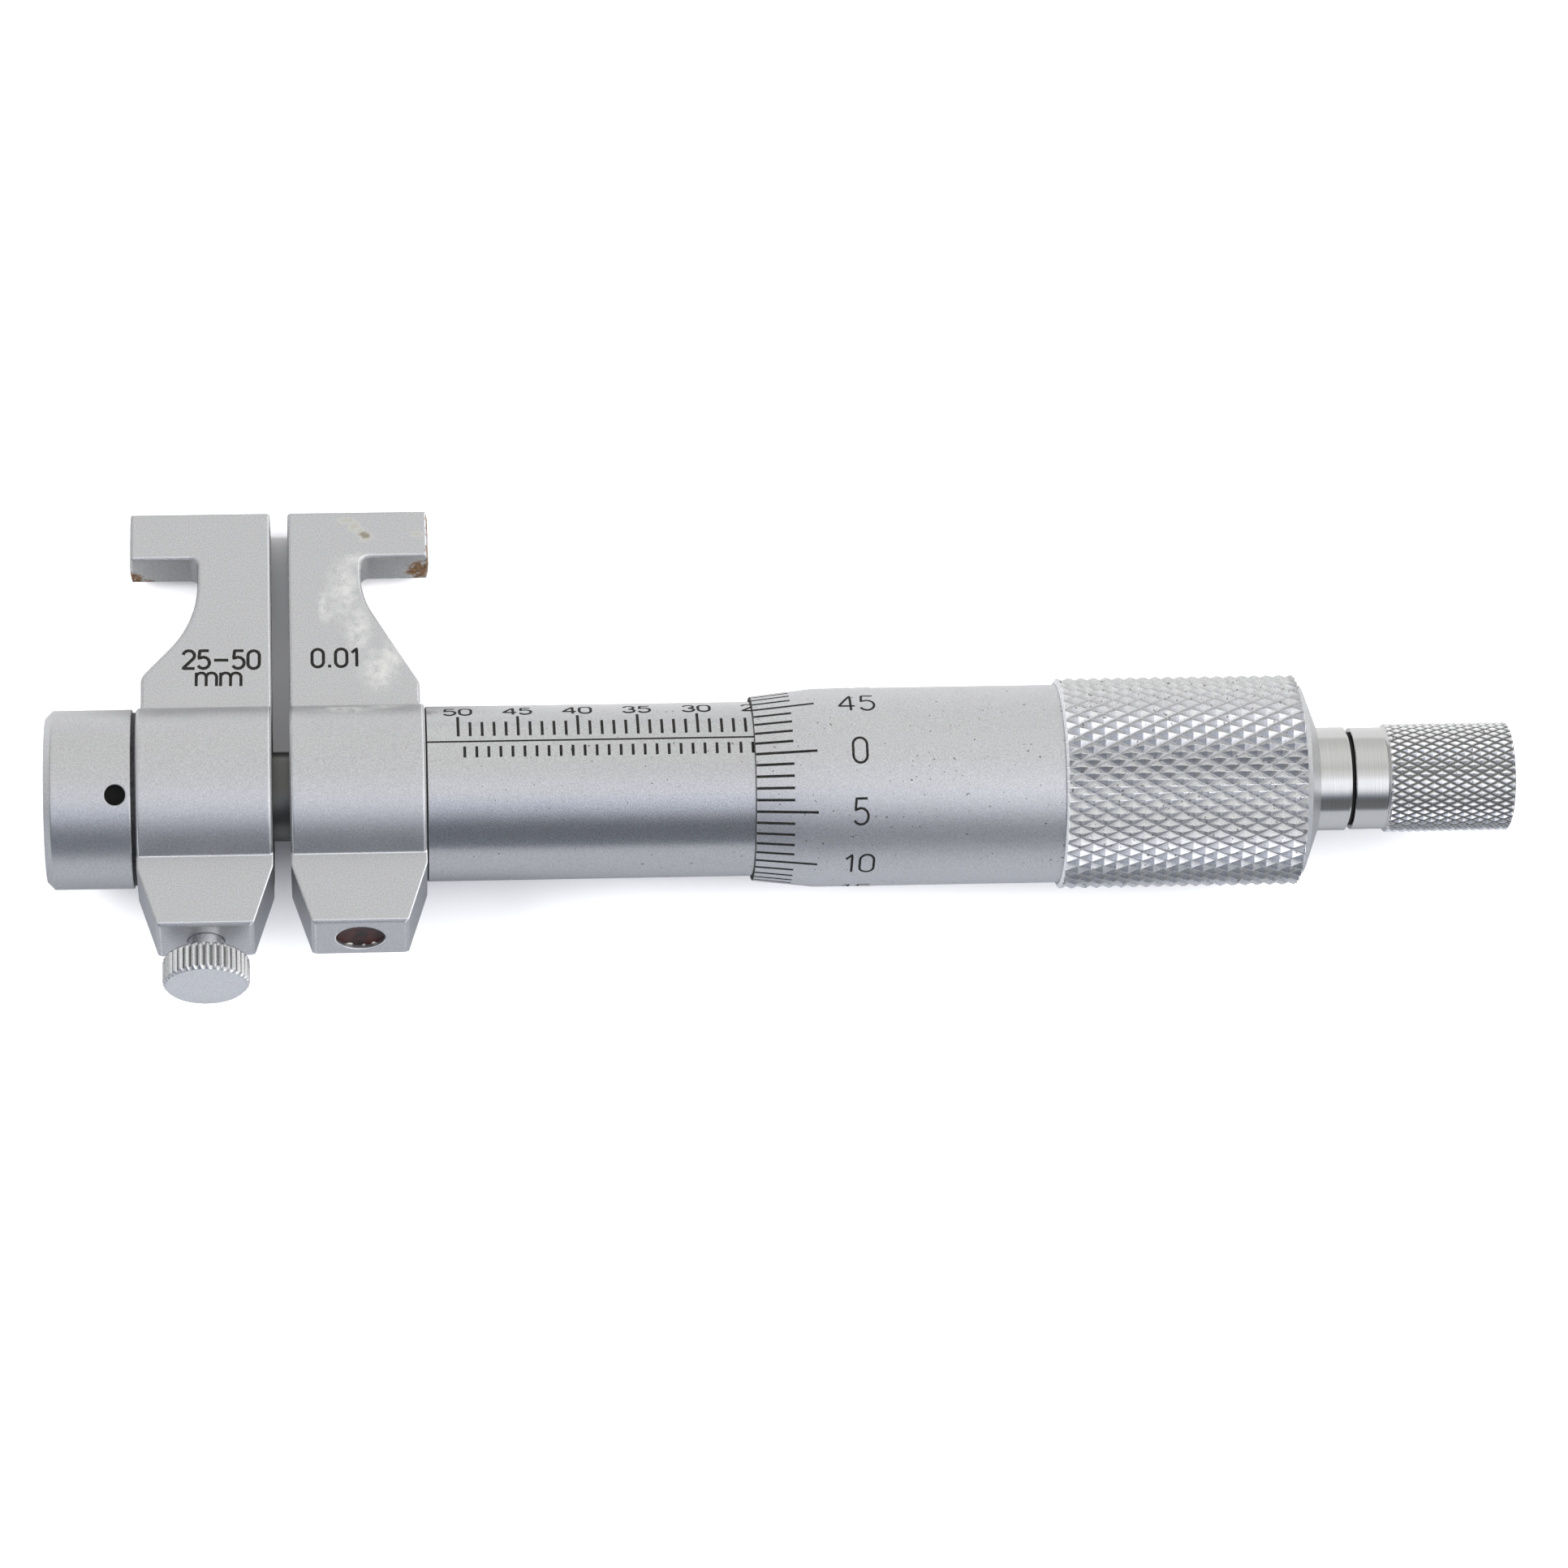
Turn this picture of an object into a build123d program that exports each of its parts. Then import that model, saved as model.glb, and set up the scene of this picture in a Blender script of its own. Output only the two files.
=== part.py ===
from build123d import *
from math import asin, atan2, cos, degrees, hypot, pi, radians, sin, sqrt
import os

# Inside micrometer of the caliper type, 25 to 50 mm, lying as it comes to rest.
# Every length is in millimetres. The pieces are drawn along the spindle axis:
# +X runs from the jaws to the ratchet knob, x = 0 is the fixed jaw's right face,
# +Y points along the jaws to their tips, and +Z is the side that carries the scale.
# The finished instrument is rolled about the spindle until the jaw tips touch the table.

# Measuring sizes
reading = 25.48            # distance over the two measuring faces as drawn
smallest_reading = 25.0
largest_reading = 50.0
screw_pitch = 0.5          # one turn of the thimble
mark_50_x = 2.74           # where the scale's first mark, 50, stands on the sleeve
edge_lead = 0.12           # how far the thimble's edge stands clear of the mark it reads
thimble_divisions = 50

# Engraved lines; angles round the spindle are counted from the front up over the scale
line_depth = 0.04
line_width = 0.18
index_width = 0.11
index_angle = 98.2
mark_gap = 4.4             # from the index line up to the millimetre marks
short_mark_arc = 13.5      # a plain millimetre mark
long_mark_arc = 20.0       # every fifth one
half_mark_gap = 3.9        # from the index line down to the half-millimetre marks
half_mark_arc = 8.1
short_division = 3.2
long_division = 5.15

# Clearances
snug = 0.02                # radial gap of a fixed fit
running = 0.05             # radial gap of a running fit
free = 0.3                 # radial gap round a piece that only has to clear
end_play = 0.05            # axial gap where a turning face meets a still one

# Jaw plates
hub_width = 11.3
hub_wall = 1.28            # left round the barrel's seat
hub_edge = 0.2             # chamfer on both rims of the hub
plate_thickness = 4.0
plate_inset = 0.3          # how far the plate's outer side stands inside the hub's rim
plate_edge = 0.15          # broken edge all round the plate
plate_blend = 0.6          # fillet between plate and hub
tip_overhang = 0.7         # how far a tip reaches past its hub
tip_top = 26.5
tip_height = 4.45
tip_corner = 0.7           # fillet under the tip
tip_round = 0.3
face_radius = 11.0         # crown of the measuring faces, about the jaw's own length
neck_width = 6.2

# Flanks: height where the neck starts to spread, height of the shoulder, hollow's radius
moving_flank = {"neck_y": 15.95, "shoulder_y": 10.62, "hollow": 9.5}
fixed_flank = {"neck_y": 18.16, "shoulder_y": 9.68, "hollow": 7.0}
shoulder_round = 1.5

# Clamp blocks below the hubs
block_thickness = 6.0
block_bottom = 13.4
block_side_end = 8.0       # where the block's parallel sides start to taper
block_foot = 7.9           # width of the block at its bottom
block_corner = 0.25

# Guide shaft and its keyway
shaft_radius = 3.75
shaft_bore = 2.5
shaft_end_x = 31.0         # right end of the shaft, inside the barrel
recess_depth = 3.08        # pocket in the moving jaw behind the end cap
keyway_width = 2.0
keyway_depth = 0.9
keyway_margin = 1.2        # keyway left over at each end of the travel

# Barrel and graduated sleeve
barrel_radius = 6.3
barrel_seat = 8.0          # length of barrel held in the fixed jaw
barrel_end_x = 45.0
nut_start_x = 33.0         # where the barrel's bore narrows to the nut thread
nut_slots = 3
slot_width = 0.8
slot_length = 10.0
cone_length = 9.0          # cone and thread for the adjusting nut at the barrel's end
cone_rise = 0.7
sleeve_wall = 1.03
sleeve_length = 34.5
sleeve_edge = 0.15
adjuster_width = 5.0
adjuster_rise = 0.6        # how far the nut stands out from the barrel
adjuster_holes = 2
adjuster_hole_radius = 0.6

# Key screw and its seal in the fixed jaw
key_hole_radius = 2.07
key_dog_radius = 0.95
seal_depth = 2.5
key_socket = 0.9
seal_sunk = 0.25

# Spindle
thread_radius = 3.25
spindle_end_radius = 1.9
seat_step = 0.65           # thread down to the thimble's seat
collar_radius = 4.4
collar_width = 1.35
collar_flat = 4.0          # half the width over the collar's two flats
washer_width = 0.6
stub_length = 0.2          # spindle left standing past its collar
stud_bore_depth = 7.5

# End cap
cap_step = 0.1             # cap's rim inside the hub's
cap_length = 7.2
cap_edge = 0.6
cap_ring_width = 0.35
cap_ring_sunk = 0.25
cap_spigot_wall = 0.85
cap_cavity_depth = 0.5
ball_radius = 1.0
spanner_hole_radius = 0.87
spanner_hole_depth = 1.8
spanner_hole_setback = 1.28
spanner_hole_angle = 115.0

# Thimble, measured from its graduated edge
thimble_gap = 0.08         # radial gap between sleeve and thimble
thimble_edge_wall = 0.32
thimble_wall = 0.95
bevel_length = 5.4
plain_length = 25.9
nose_length = 1.2          # cone between the knurl's chamfer and the boss
nose_chamfer = 0.4
knurl_foot = 0.12          # the knurl's grooves stay this far above the plain body
knurl_height = 0.45
knurl_edge = 0.3           # how much lower the knurl's first and last tips are
knurl_starts = 48          # grooves each way round the grip
knurl_rows = 19            # half pitches along the grip
thimble_length = 47.9
nose_land = 0.53           # flat left round the ratchet's boss
end_wall = 2.9

# Ratchet stop, measured on from the thimble's end
boss_radius = 4.37
boss_length = 2.62
groove_width = 0.48
groove_depth = 0.42
knob_wall = 0.96
knob_neck_length = 2.8
knob_foot = 0.11
knob_height = 0.26
knob_length = 10.8
knob_edge = 0.2
knob_chamfer = 0.18
knob_starts = 40
knob_rows = 15
knob_web = 2.4             # wall inside the knob that carries its ratchet teeth
knob_pocket = 2.7          # pocket for the screw in the knob's end
axle_radius = 1.7
axle_flat = 1.35           # half the width over the axle's two flats
crown_width = 1.5
ratchet_teeth = 24
tooth_height = 0.3
tooth_width = 0.85
tooth_gap = 0.04
spring_wire = 0.22
spring_turns = 3.5
spring_gap = 0.63          # between the axle and the spring's wire
crown_wall = 0.5           # crown's rim over the spring's middle line
stem_thread_radius = 1.5
stem_thread_length = 7.0
end_screw_radius = 0.9
end_screw_length = 3.5
end_screw_head_radius = 1.9
end_screw_head = 1.1
end_washer_radius = 2.4
end_washer_width = 0.5
head_edge = 0.25
driver_slot = 0.5
slot_depth = 0.35

# Lock screw
lock_thread_radius = 1.5
lock_head_radius = 3.6
lock_head_length = 2.5
lock_neck = 1.7            # neck that shows between block and head
lock_head_edge = 0.3
lock_flutes = 36
flute_radius = 0.2
lock_pad_length = 1.8
lock_pad_gap = 0.2         # pad to spindle while the instrument is unlocked

# Radii that follow from the sizes above, from the spindle outwards
spindle_seat_radius = thread_radius - seat_step
lock_pad_radius = lock_thread_radius - 0.5 * free
recess_radius = collar_radius + free + running + cap_spigot_wall
sleeve_bore = barrel_radius + snug
sleeve_radius = sleeve_bore + sleeve_wall
hub_radius = sleeve_bore + hub_wall
cap_radius = hub_radius - cap_step
cap_ring_radius = cap_radius - cap_ring_sunk
adjuster_radius = barrel_radius + adjuster_rise
thimble_bore = sleeve_radius + thimble_gap
thimble_edge_radius = thimble_bore + thimble_edge_wall
thimble_radius = thimble_bore + thimble_wall
knurl_seat = thimble_radius + knurl_foot / 2
knurl_radius = thimble_radius + knurl_foot + knurl_height
thimble_nose_radius = boss_radius + nose_land
groove_radius = boss_radius - groove_depth
spring_radius = axle_radius + spring_gap + spring_wire
crown_radius = spring_radius + crown_wall
tooth_inner = crown_radius - tooth_width
knob_bore = crown_radius + free
knob_neck_radius = knob_bore + knob_wall
knob_seat = knob_neck_radius + knob_foot / 2
knob_radius = knob_neck_radius + knob_foot + knob_height
knob_pocket_radius = end_washer_radius + free

# Places along the spindle axis that follow from the sizes above
tip_reach = hub_width + tip_overhang
jaw_gap = reading - 2 * tip_reach
fixed_inner_x = -hub_width
moving_inner_x = fixed_inner_x - jaw_gap
moving_outer_x = moving_inner_x - hub_width
recess_x = moving_outer_x + recess_depth
cap_face_x = moving_outer_x - cap_ring_width
cap_end_x = cap_face_x - cap_length
collar_x = recess_x - washer_width - end_play
spindle_left_x = collar_x - collar_width - stub_length
edge_x = mark_50_x + (largest_reading - reading) + edge_lead
thimble_end_x = edge_x + thimble_length
knurl_x = edge_x + plain_length
nose_x = thimble_end_x - nose_length
knurl_end_x = nose_x - nose_chamfer
wall_x = thimble_end_x - end_wall
boss_end_x = thimble_end_x + boss_length
knob_x = boss_end_x + groove_width
knob_grip_x = knob_x + knob_neck_length
knob_end_x = knob_grip_x + knob_length
web_end_x = knob_end_x - knob_pocket
web_x = web_end_x - knob_web
crown_x = web_x - tooth_gap - crown_width
fixed_middle_x = fixed_inner_x / 2
moving_middle_x = moving_inner_x - hub_width / 2
travel_out = largest_reading - reading
travel_in = reading - smallest_reading


def turned(*outline):
    """A solid of revolution about the spindle axis from (x, radius) corners."""
    return revolve(make_face(Polyline(*outline, close=True)), Axis.X)


def ring(x0, x1, outer, inner=0.0):
    return turned((x0, inner), (x1, inner), (x1, outer), (x0, outer))


def ring_with_edges(x0, x1, outer, inner, edge):
    """A ring whose two outer rims are chamfered."""
    corners = ((x0, inner), (x1, inner), (x1, outer - edge), (x1 - edge, outer))
    return turned(*corners, (x0 + edge, outer), (x0, outer - edge))


def post(x, y0, y1, radius):
    """A round bar along Y at place x, from y0 up to y1."""
    bar = Cylinder(radius, y1 - y0, align=(Align.CENTER, Align.CENTER, Align.MIN))
    return Pos(x, y0, 0) * Rot(-90, 0, 0) * bar


def spread(shape, count):
    """Copies of a shape at equal angles round the spindle axis."""
    return [Rot(360 * i / count, 0, 0) * shape for i in range(count)]


def at_angle(angle, shape):
    """Turns a shape drawn on the +Z side to an angle of the scale."""
    return Rot(90 - angle, 0, 0) * shape


def knurl_net(x0, x1, tips, height, edge, rows, starts, turn):
    """Rings of points: every second one is a tip, the rest are where grooves cross."""
    rings = []
    for row in range(rows + 1):
        x = x0 + (x1 - x0) * row / rows
        tip = tips - edge if row in (0, rows) else tips
        ring_points = []
        for i in range(2 * starts):
            radius = tips - height if (i + row) % 2 else tip
            angle = turn + pi * i / starts
            ring_points.append((x, radius * cos(angle), radius * sin(angle)))
        rings.append(ring_points)
    return rings


def pyramid_faces(rings):
    """Two triangles for each cell of the net, parted along the groove that crosses it."""
    faces = []
    for row, (near, far) in enumerate(zip(rings, rings[1:])):
        for i, corner in enumerate(near):
            after = (i + 1) % len(near)
            cell = [corner, near[after], far[after], far[i]]
            if (i + row) % 2 == 0:
                cell = cell[1:] + cell[:1]
            faces.append(Face(Wire.make_polygon(cell[:3])))
            faces.append(Face(Wire.make_polygon(cell[2:] + cell[:1])))
    return faces


def knurled(core, rings):
    """Sets the pyramids on a turned piece, in place of its widest plain band."""
    band = core.faces().filter_by(GeomType.CYLINDER).sort_by(lambda face: face.radius)[-1]
    rims = band.edges().filter_by(GeomType.CIRCLE).sort_by(lambda edge: edge.center().X)
    ends = [Face(Wire.make_polygon(rings[0]), [Wire(rims[0])])]
    ends.append(Face(Wire.make_polygon(rings[-1]), [Wire(rims[-1])]))
    rest = [face for face in core.faces() if face != band]
    return Solid(Shell(rest + ends + pyramid_faces(rings)))


def jaw_plate(flank):
    """The flat jaw with its hooked tip; x runs from the gap side to the outside."""
    side = hub_width - plate_inset
    under = tip_top - tip_height
    corners = [(0, 0), (0, tip_top), (tip_reach, tip_top), (tip_reach, under)]
    corners += [(neck_width, under), (neck_width, flank["neck_y"])]
    corners += [(side, flank["shoulder_y"]), (side, 0)]
    rounds = [tip_round, tip_round, tip_round, tip_corner, flank["hollow"], shoulder_round]
    outline = FilletPolyline(*corners, radius=rounds)
    face = make_face([outline, Line(corners[-1], corners[0])])
    plate = extrude(face, plate_thickness / 2, both=True)
    rims = plate.faces().filter_by(Axis.Z).edges()
    foot = rims.filter_by(Axis.X).sort_by(Axis.Y)[:2]
    plate = chamfer([rim for rim in rims if rim not in foot], plate_edge)
    crown = Pos(tip_reach - face_radius, 0, 0) * Rot(-90, 0, 0) * Cylinder(face_radius, 3 * tip_top)
    inward = Pos(-face_radius, 0, 0) * Box(2 * tip_reach, 4 * tip_top, 2 * hub_radius)
    return plate & (crown + inward)


def hub_blend():
    """The fillets between the plate's two faces and the hub."""
    half = plate_thickness / 2
    away = half + plate_blend
    reach = hub_radius + plate_blend
    tangent_y = sqrt(reach**2 - away**2)
    share = hub_radius / reach
    centre = (tangent_y, away)
    start = (tangent_y, half)
    end = (share * tangent_y, share * away)
    lean = radians((270 + degrees(atan2(-away, -tangent_y)) % 360) / 2)
    middle = (centre[0] + plate_blend * cos(lean), centre[1] + plate_blend * sin(lean))
    curve = ThreePointArc(start, middle, end)
    rest = Polyline(end, (end[0], 0), (tangent_y, 0), start)
    section = Plane.YZ * make_face([curve, rest])
    blend = extrude(section, hub_width - plate_inset - hub_edge)
    return Pos(hub_edge, 0, 0) * (blend + mirror(blend, Plane.XY))


def clamp_block():
    """The block under the hub; x runs from the gap side to the outside."""
    taper = (hub_width - block_foot) / 2
    corners = [(0, 0), (0, -block_side_end), (taper, -block_bottom)]
    corners += [(hub_width - taper, -block_bottom), (hub_width, -block_side_end), (hub_width, 0)]
    block = extrude(make_face(Polyline(*corners, close=True)), block_thickness / 2, both=True)
    bottom = block.faces().sort_by(Axis.Y)[0].edges()
    return chamfer(bottom, block_corner)


def jaw_blank(flank):
    """Plate, hub and clamp block as one forging, still without holes."""
    hub = ring_with_edges(0, hub_width, hub_radius, 0, hub_edge)
    return jaw_plate(flank) + hub + hub_blend() + clamp_block()


def fixed_jaw():
    blank = Pos(fixed_inner_x, 0, 0) * jaw_blank(fixed_flank)
    blank -= ring(fixed_inner_x, 0, shaft_radius + running)
    blank -= ring(-barrel_seat, 0, sleeve_bore)
    return blank - post(fixed_middle_x, -block_bottom, 0, key_hole_radius)


def moving_jaw():
    blank = mirror(jaw_blank(moving_flank), Plane.YZ)
    blank = Pos(moving_inner_x, 0, 0) * blank
    blank -= ring(recess_x, moving_inner_x, shaft_radius + snug)
    blank -= ring(moving_outer_x, recess_x, recess_radius + snug)
    return blank - post(moving_middle_x, -block_bottom, 0, lock_thread_radius + running)


def guide_shaft():
    """Keyed tube that carries the moving jaw and slides in the barrel."""
    shaft = ring_with_edges(recess_x, shaft_end_x, shaft_radius, shaft_bore, plate_edge)
    slack = key_dog_radius + keyway_margin
    key_start = fixed_middle_x - travel_in - slack
    key_end = fixed_middle_x + travel_out + slack
    length = key_end - key_start
    floor = shaft_radius - keyway_depth
    slot = Box(length, shaft_radius, keyway_width, align=(Align.MIN, Align.MAX, Align.CENTER))
    shaft -= Pos(key_start, -floor, 0) * slot
    return shaft - post(moving_middle_x, -shaft_radius, 0, lock_pad_radius + running)


def barrel():
    """Inner sleeve: guide bore, and a split nut with a cone at its right end."""
    cone_x = barrel_end_x - cone_length
    tip = barrel_radius - cone_rise
    bore = shaft_radius + running
    nut = thread_radius + running
    outline = [(-barrel_seat, bore), (nut_start_x, bore), (nut_start_x, nut), (barrel_end_x, nut)]
    outline += [(barrel_end_x, tip), (cone_x, barrel_radius), (-barrel_seat, barrel_radius)]
    body = turned(*outline)
    slot = Box(slot_length, 2 * barrel_radius, slot_width, align=(Align.MAX, Align.MIN, Align.CENTER))
    for cut in spread(Pos(barrel_end_x, 0, 0) * slot, nut_slots):
        body -= cut
    return body - post(fixed_middle_x, -barrel_radius, 0, key_hole_radius)


def adjusting_nut():
    """Ring that closes the split nut on the spindle thread to take up wear."""
    end = barrel_end_x - plate_edge
    start = end - adjuster_width
    slope = cone_rise / cone_length
    at_end = barrel_radius - slope * (end - barrel_end_x + cone_length) + snug
    at_start = at_end + slope * adjuster_width
    outline = [(start, at_start), (end, at_end), (end, adjuster_radius), (start, adjuster_radius)]
    nut = turned(*outline)
    middle = (start + end) / 2
    hole = post(middle, 0, 2 * adjuster_radius, adjuster_hole_radius)
    for cut in spread(hole, adjuster_holes):
        nut -= cut
    return nut


def cross_line(x, start, end):
    """Cutter of a line across the sleeve, from one angle of the scale to another."""
    section = Pos(x, sleeve_radius, 0) * Rectangle(line_width, 2 * line_depth)
    return Rot(180 - end, 0, 0) * revolve(section, Axis.X, end - start)


def sleeve_lines():
    """Index line, millimetre marks above it and half-millimetre marks below it."""
    index = Box(2 * sleeve_length, index_width, 2 * line_depth)
    lines = [at_angle(index_angle, Pos(0, 0, sleeve_radius) * index)]
    marks = round(largest_reading - smallest_reading)
    foot = index_angle + mark_gap
    half_top = index_angle - half_mark_gap
    for n in range(marks + 1):
        arc = short_mark_arc if n % 5 else long_mark_arc
        lines.append(cross_line(mark_50_x + n, foot, foot + arc))
    for n in range(marks):
        lines.append(cross_line(mark_50_x + n + 0.5, half_top - half_mark_arc, half_top))
    return lines


def graduated_sleeve():
    outline = [(0, sleeve_bore), (sleeve_length, sleeve_bore)]
    outline += [(sleeve_length, sleeve_radius - sleeve_edge)]
    outline += [(sleeve_length - sleeve_edge, sleeve_radius)]
    outline += [(sleeve_edge, sleeve_radius), (0, sleeve_radius - sleeve_edge)]
    return turned(*outline) - sleeve_lines()


def key_screw():
    """Screw whose dog rides in the keyway, so that the moving jaw can't turn."""
    tip = shaft_radius - keyway_depth + 2 * end_play
    head = block_bottom - seal_depth
    shoulder = barrel_radius + free
    body = post(fixed_middle_x, -head, -shoulder, key_hole_radius - snug)
    dog = post(fixed_middle_x, -shoulder, -tip, key_dog_radius)
    socket = Pos(fixed_middle_x, -head, 0) * Box(2 * key_hole_radius, 2 * key_socket, key_socket)
    return body + dog - socket


def sealing_plug():
    """Lacquer that fills the hole over the key screw, slightly hollow on top."""
    top = -block_bottom + seal_sunk
    plug = post(fixed_middle_x, top, seal_depth - block_bottom, key_hole_radius - snug)
    dish_radius = key_hole_radius**2 / seal_sunk
    dish = Pos(fixed_middle_x, top - dish_radius + seal_sunk, 0) * Sphere(dish_radius)
    return plug - dish


def thrust_washer():
    return ring(recess_x - washer_width, recess_x, recess_radius, shaft_bore)


def spindle_collar():
    """Threaded collar that pulls the moving jaw in; two flats for a spanner."""
    start = collar_x - collar_width
    bore = spindle_end_radius + snug
    collar = ring_with_edges(start, collar_x, collar_radius, bore, plate_edge)
    flats = Box(collar_width, 2 * collar_radius, 2 * collar_flat)
    return collar & (Pos(start + collar_width / 2, 0, 0) * flats)


def end_cap():
    """Screwed cap with a hollow spigot; the ball in it takes the spindle's thrust."""
    spigot = recess_radius
    spigot_x = recess_x - washer_width
    cavity = spigot - cap_spigot_wall
    cavity_x = spindle_left_x - cap_cavity_depth
    outline = [(cap_end_x, 0), (cap_end_x, cap_radius - cap_edge), (cap_end_x + cap_edge, cap_radius)]
    outline += [(cap_face_x, cap_radius), (cap_face_x, spigot), (spigot_x, spigot), (spigot_x, cavity)]
    outline += [(cavity_x, cavity), (cavity_x, 0)]
    cap = turned(*outline)
    ball_x = spindle_left_x - end_play - ball_radius
    cap -= ring(ball_x - ball_radius - snug, cavity_x, ball_radius + snug)
    drill = Cylinder(spanner_hole_radius, 2 * spanner_hole_depth)
    hole = Pos(cap_face_x - spanner_hole_setback, cap_radius, 0) * Rot(90, 0, 0) * drill
    return cap - Rot(spanner_hole_angle, 0, 0) * hole


def cap_ring():
    return ring(cap_face_x, moving_outer_x, cap_ring_radius, recess_radius + snug)


def thrust_ball():
    return Pos(spindle_left_x - end_play - ball_radius, 0, 0) * Sphere(ball_radius)


def spindle():
    """Journal in the guide shaft, thread in the split nut, seat in the thimble."""
    journal = shaft_bore - running
    thread_x = shaft_end_x + end_play
    outline = [(spindle_left_x, 0), (spindle_left_x, spindle_end_radius)]
    outline += [(collar_x, spindle_end_radius), (collar_x, journal)]
    outline += [(thread_x, journal), (thread_x, thread_radius)]
    outline += [(wall_x, thread_radius), (wall_x, spindle_seat_radius)]
    outline += [(thimble_end_x - end_play, spindle_seat_radius), (thimble_end_x - end_play, 0)]
    stud_bore = ring(thimble_end_x - stud_bore_depth, thimble_end_x, stem_thread_radius + snug)
    return turned(*outline) - stud_bore


def division_line(length):
    """Cutter of a line along the thimble's bevel, from its edge."""
    rise = (thimble_radius - thimble_edge_radius) / bevel_length
    start = edge_x - line_depth
    end = edge_x + length
    floor = thimble_edge_radius - line_depth
    corners = [(start, floor - rise * line_depth), (end, floor + rise * length)]
    corners += [(end, thimble_radius + line_depth), (start, thimble_radius + line_depth)]
    section = Plane.XZ * make_face(Polyline(*corners, close=True))
    return extrude(section, line_width / 2, both=True)


def division_lines():
    """The thimble's divisions, turned to the reading that the instrument shows."""
    zero_angle = index_angle - 360 * (-reading / screw_pitch % 1)
    short, long = division_line(short_division), division_line(long_division)
    lines = []
    for n in range(thimble_divisions):
        angle = zero_angle - 360 * n / thimble_divisions
        lines.append(at_angle(angle, short if n % 5 else long))
    return lines


def thimble():
    """Turned from one bar: bevelled scale, plain body, knurled grip and closed end."""
    bore = spindle_seat_radius + snug
    outline = [(edge_x, thimble_bore), (wall_x, thimble_bore), (wall_x, bore), (thimble_end_x, bore)]
    outline += [(thimble_end_x, thimble_nose_radius), (nose_x, knurl_seat - nose_chamfer)]
    outline += [(knurl_end_x, knurl_seat), (knurl_x, knurl_seat), (knurl_x, thimble_radius)]
    outline += [(edge_x + bevel_length, thimble_radius), (edge_x, thimble_edge_radius)]
    core = turned(*outline) - division_lines()
    # One line of tips points straight down as the instrument rests
    rings = knurl_net(knurl_x, knurl_end_x, knurl_radius, knurl_height, knurl_edge,
                      knurl_rows, knurl_starts, rest_roll - pi / 2)
    return knurled(core, rings)


def ratchet_stem():
    """Stud that clamps the thimble on the spindle and is the ratchet's axle."""
    start = thimble_end_x - stem_thread_length
    shoulder = knob_x - end_play
    axle_end = web_end_x + end_play
    outline = [(start, 0), (start, stem_thread_radius), (thimble_end_x, stem_thread_radius)]
    outline += [(thimble_end_x, boss_radius), (boss_end_x, boss_radius), (boss_end_x, groove_radius)]
    outline += [(shoulder, groove_radius), (shoulder, axle_radius)]
    outline += [(axle_end, axle_radius), (axle_end, 0)]
    stem = turned(*outline)
    length = web_x - knob_x - end_play
    outside = ring(knob_x, knob_x + length, axle_radius)
    outside -= Pos(knob_x + length / 2, 0, 0) * Box(length, 2 * axle_radius, 2 * axle_flat)
    tapped = ring(web_end_x - end_screw_length, axle_end, end_screw_radius + snug)
    return stem - outside - tapped


def saw_teeth(x, inner, outer, side_gap):
    """Teeth of a face ratchet that stand on the plane at x and point to the right.

    They rise slowly in the way that closes the thimble, so that the knob slips there,
    and drop off steeply the other way.
    """
    width = 2 * pi * outer / ratchet_teeth
    top = tooth_height * (1 - side_gap / width)
    outline = Polyline((-width, 0), (-side_gap, 0), (-side_gap, -top), close=True)
    base = Plane(origin=(x, 0, inner), x_dir=(0, 1, 0), z_dir=(0, 0, 1))
    return spread(extrude(base * make_face(outline), outer - inner), ratchet_teeth)


def ratchet_crown():
    """Sliding toothed ring, keyed to the axle's flats and pressed on by the spring."""
    crown = ring(crown_x, crown_x + crown_width, crown_radius)
    crown += saw_teeth(crown_x + crown_width, tooth_inner, crown_radius, tooth_gap)
    crown &= ring(crown_x, web_end_x, crown_radius)
    middle = crown_x + crown_width / 2
    hole = ring(crown_x, crown_x + crown_width, axle_radius + running)
    hole &= Pos(middle, 0, 0) * Box(crown_width, 2 * crown_radius, 2 * (axle_flat + running))
    return crown - hole


def ratchet_knob():
    """Knurled knob; a wall inside it has the teeth that the crown drives."""
    net_x, net_end_x = knob_grip_x + knob_chamfer, knob_end_x - knob_chamfer
    outline = [(knob_x, knob_bore), (web_x, knob_bore), (web_x, axle_radius + running)]
    outline += [(web_end_x, axle_radius + running), (web_end_x, knob_pocket_radius)]
    outline += [(knob_end_x, knob_pocket_radius), (knob_end_x, knob_seat - knob_chamfer)]
    outline += [(net_end_x, knob_seat), (net_x, knob_seat), (knob_grip_x, knob_neck_radius)]
    outline += [(knob_x, knob_neck_radius)]
    core = turned(*outline)
    for tooth in saw_teeth(web_x, tooth_inner - tooth_gap, crown_radius + tooth_gap, 0):
        core -= tooth
    rings = knurl_net(net_x, net_end_x, knob_radius, knob_height, knob_edge,
                      knob_rows, knob_starts, 0)
    return knurled(core, rings)


def spring():
    """Coil spring between the stem's shoulder and the crown."""
    start = knob_x + spring_wire
    height = crown_x - end_play - spring_wire - start
    path = Helix(height / spring_turns, height, spring_radius, direction=(1, 0, 0))
    wire = sweep(Plane(origin=path @ 0, z_dir=path % 0) * Circle(spring_wire), path=path)
    return Pos(start, 0, 0) * wire


def end_washer():
    start = web_end_x + end_play
    return ring(start, start + end_washer_width, end_washer_radius, end_screw_radius + snug)


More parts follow.
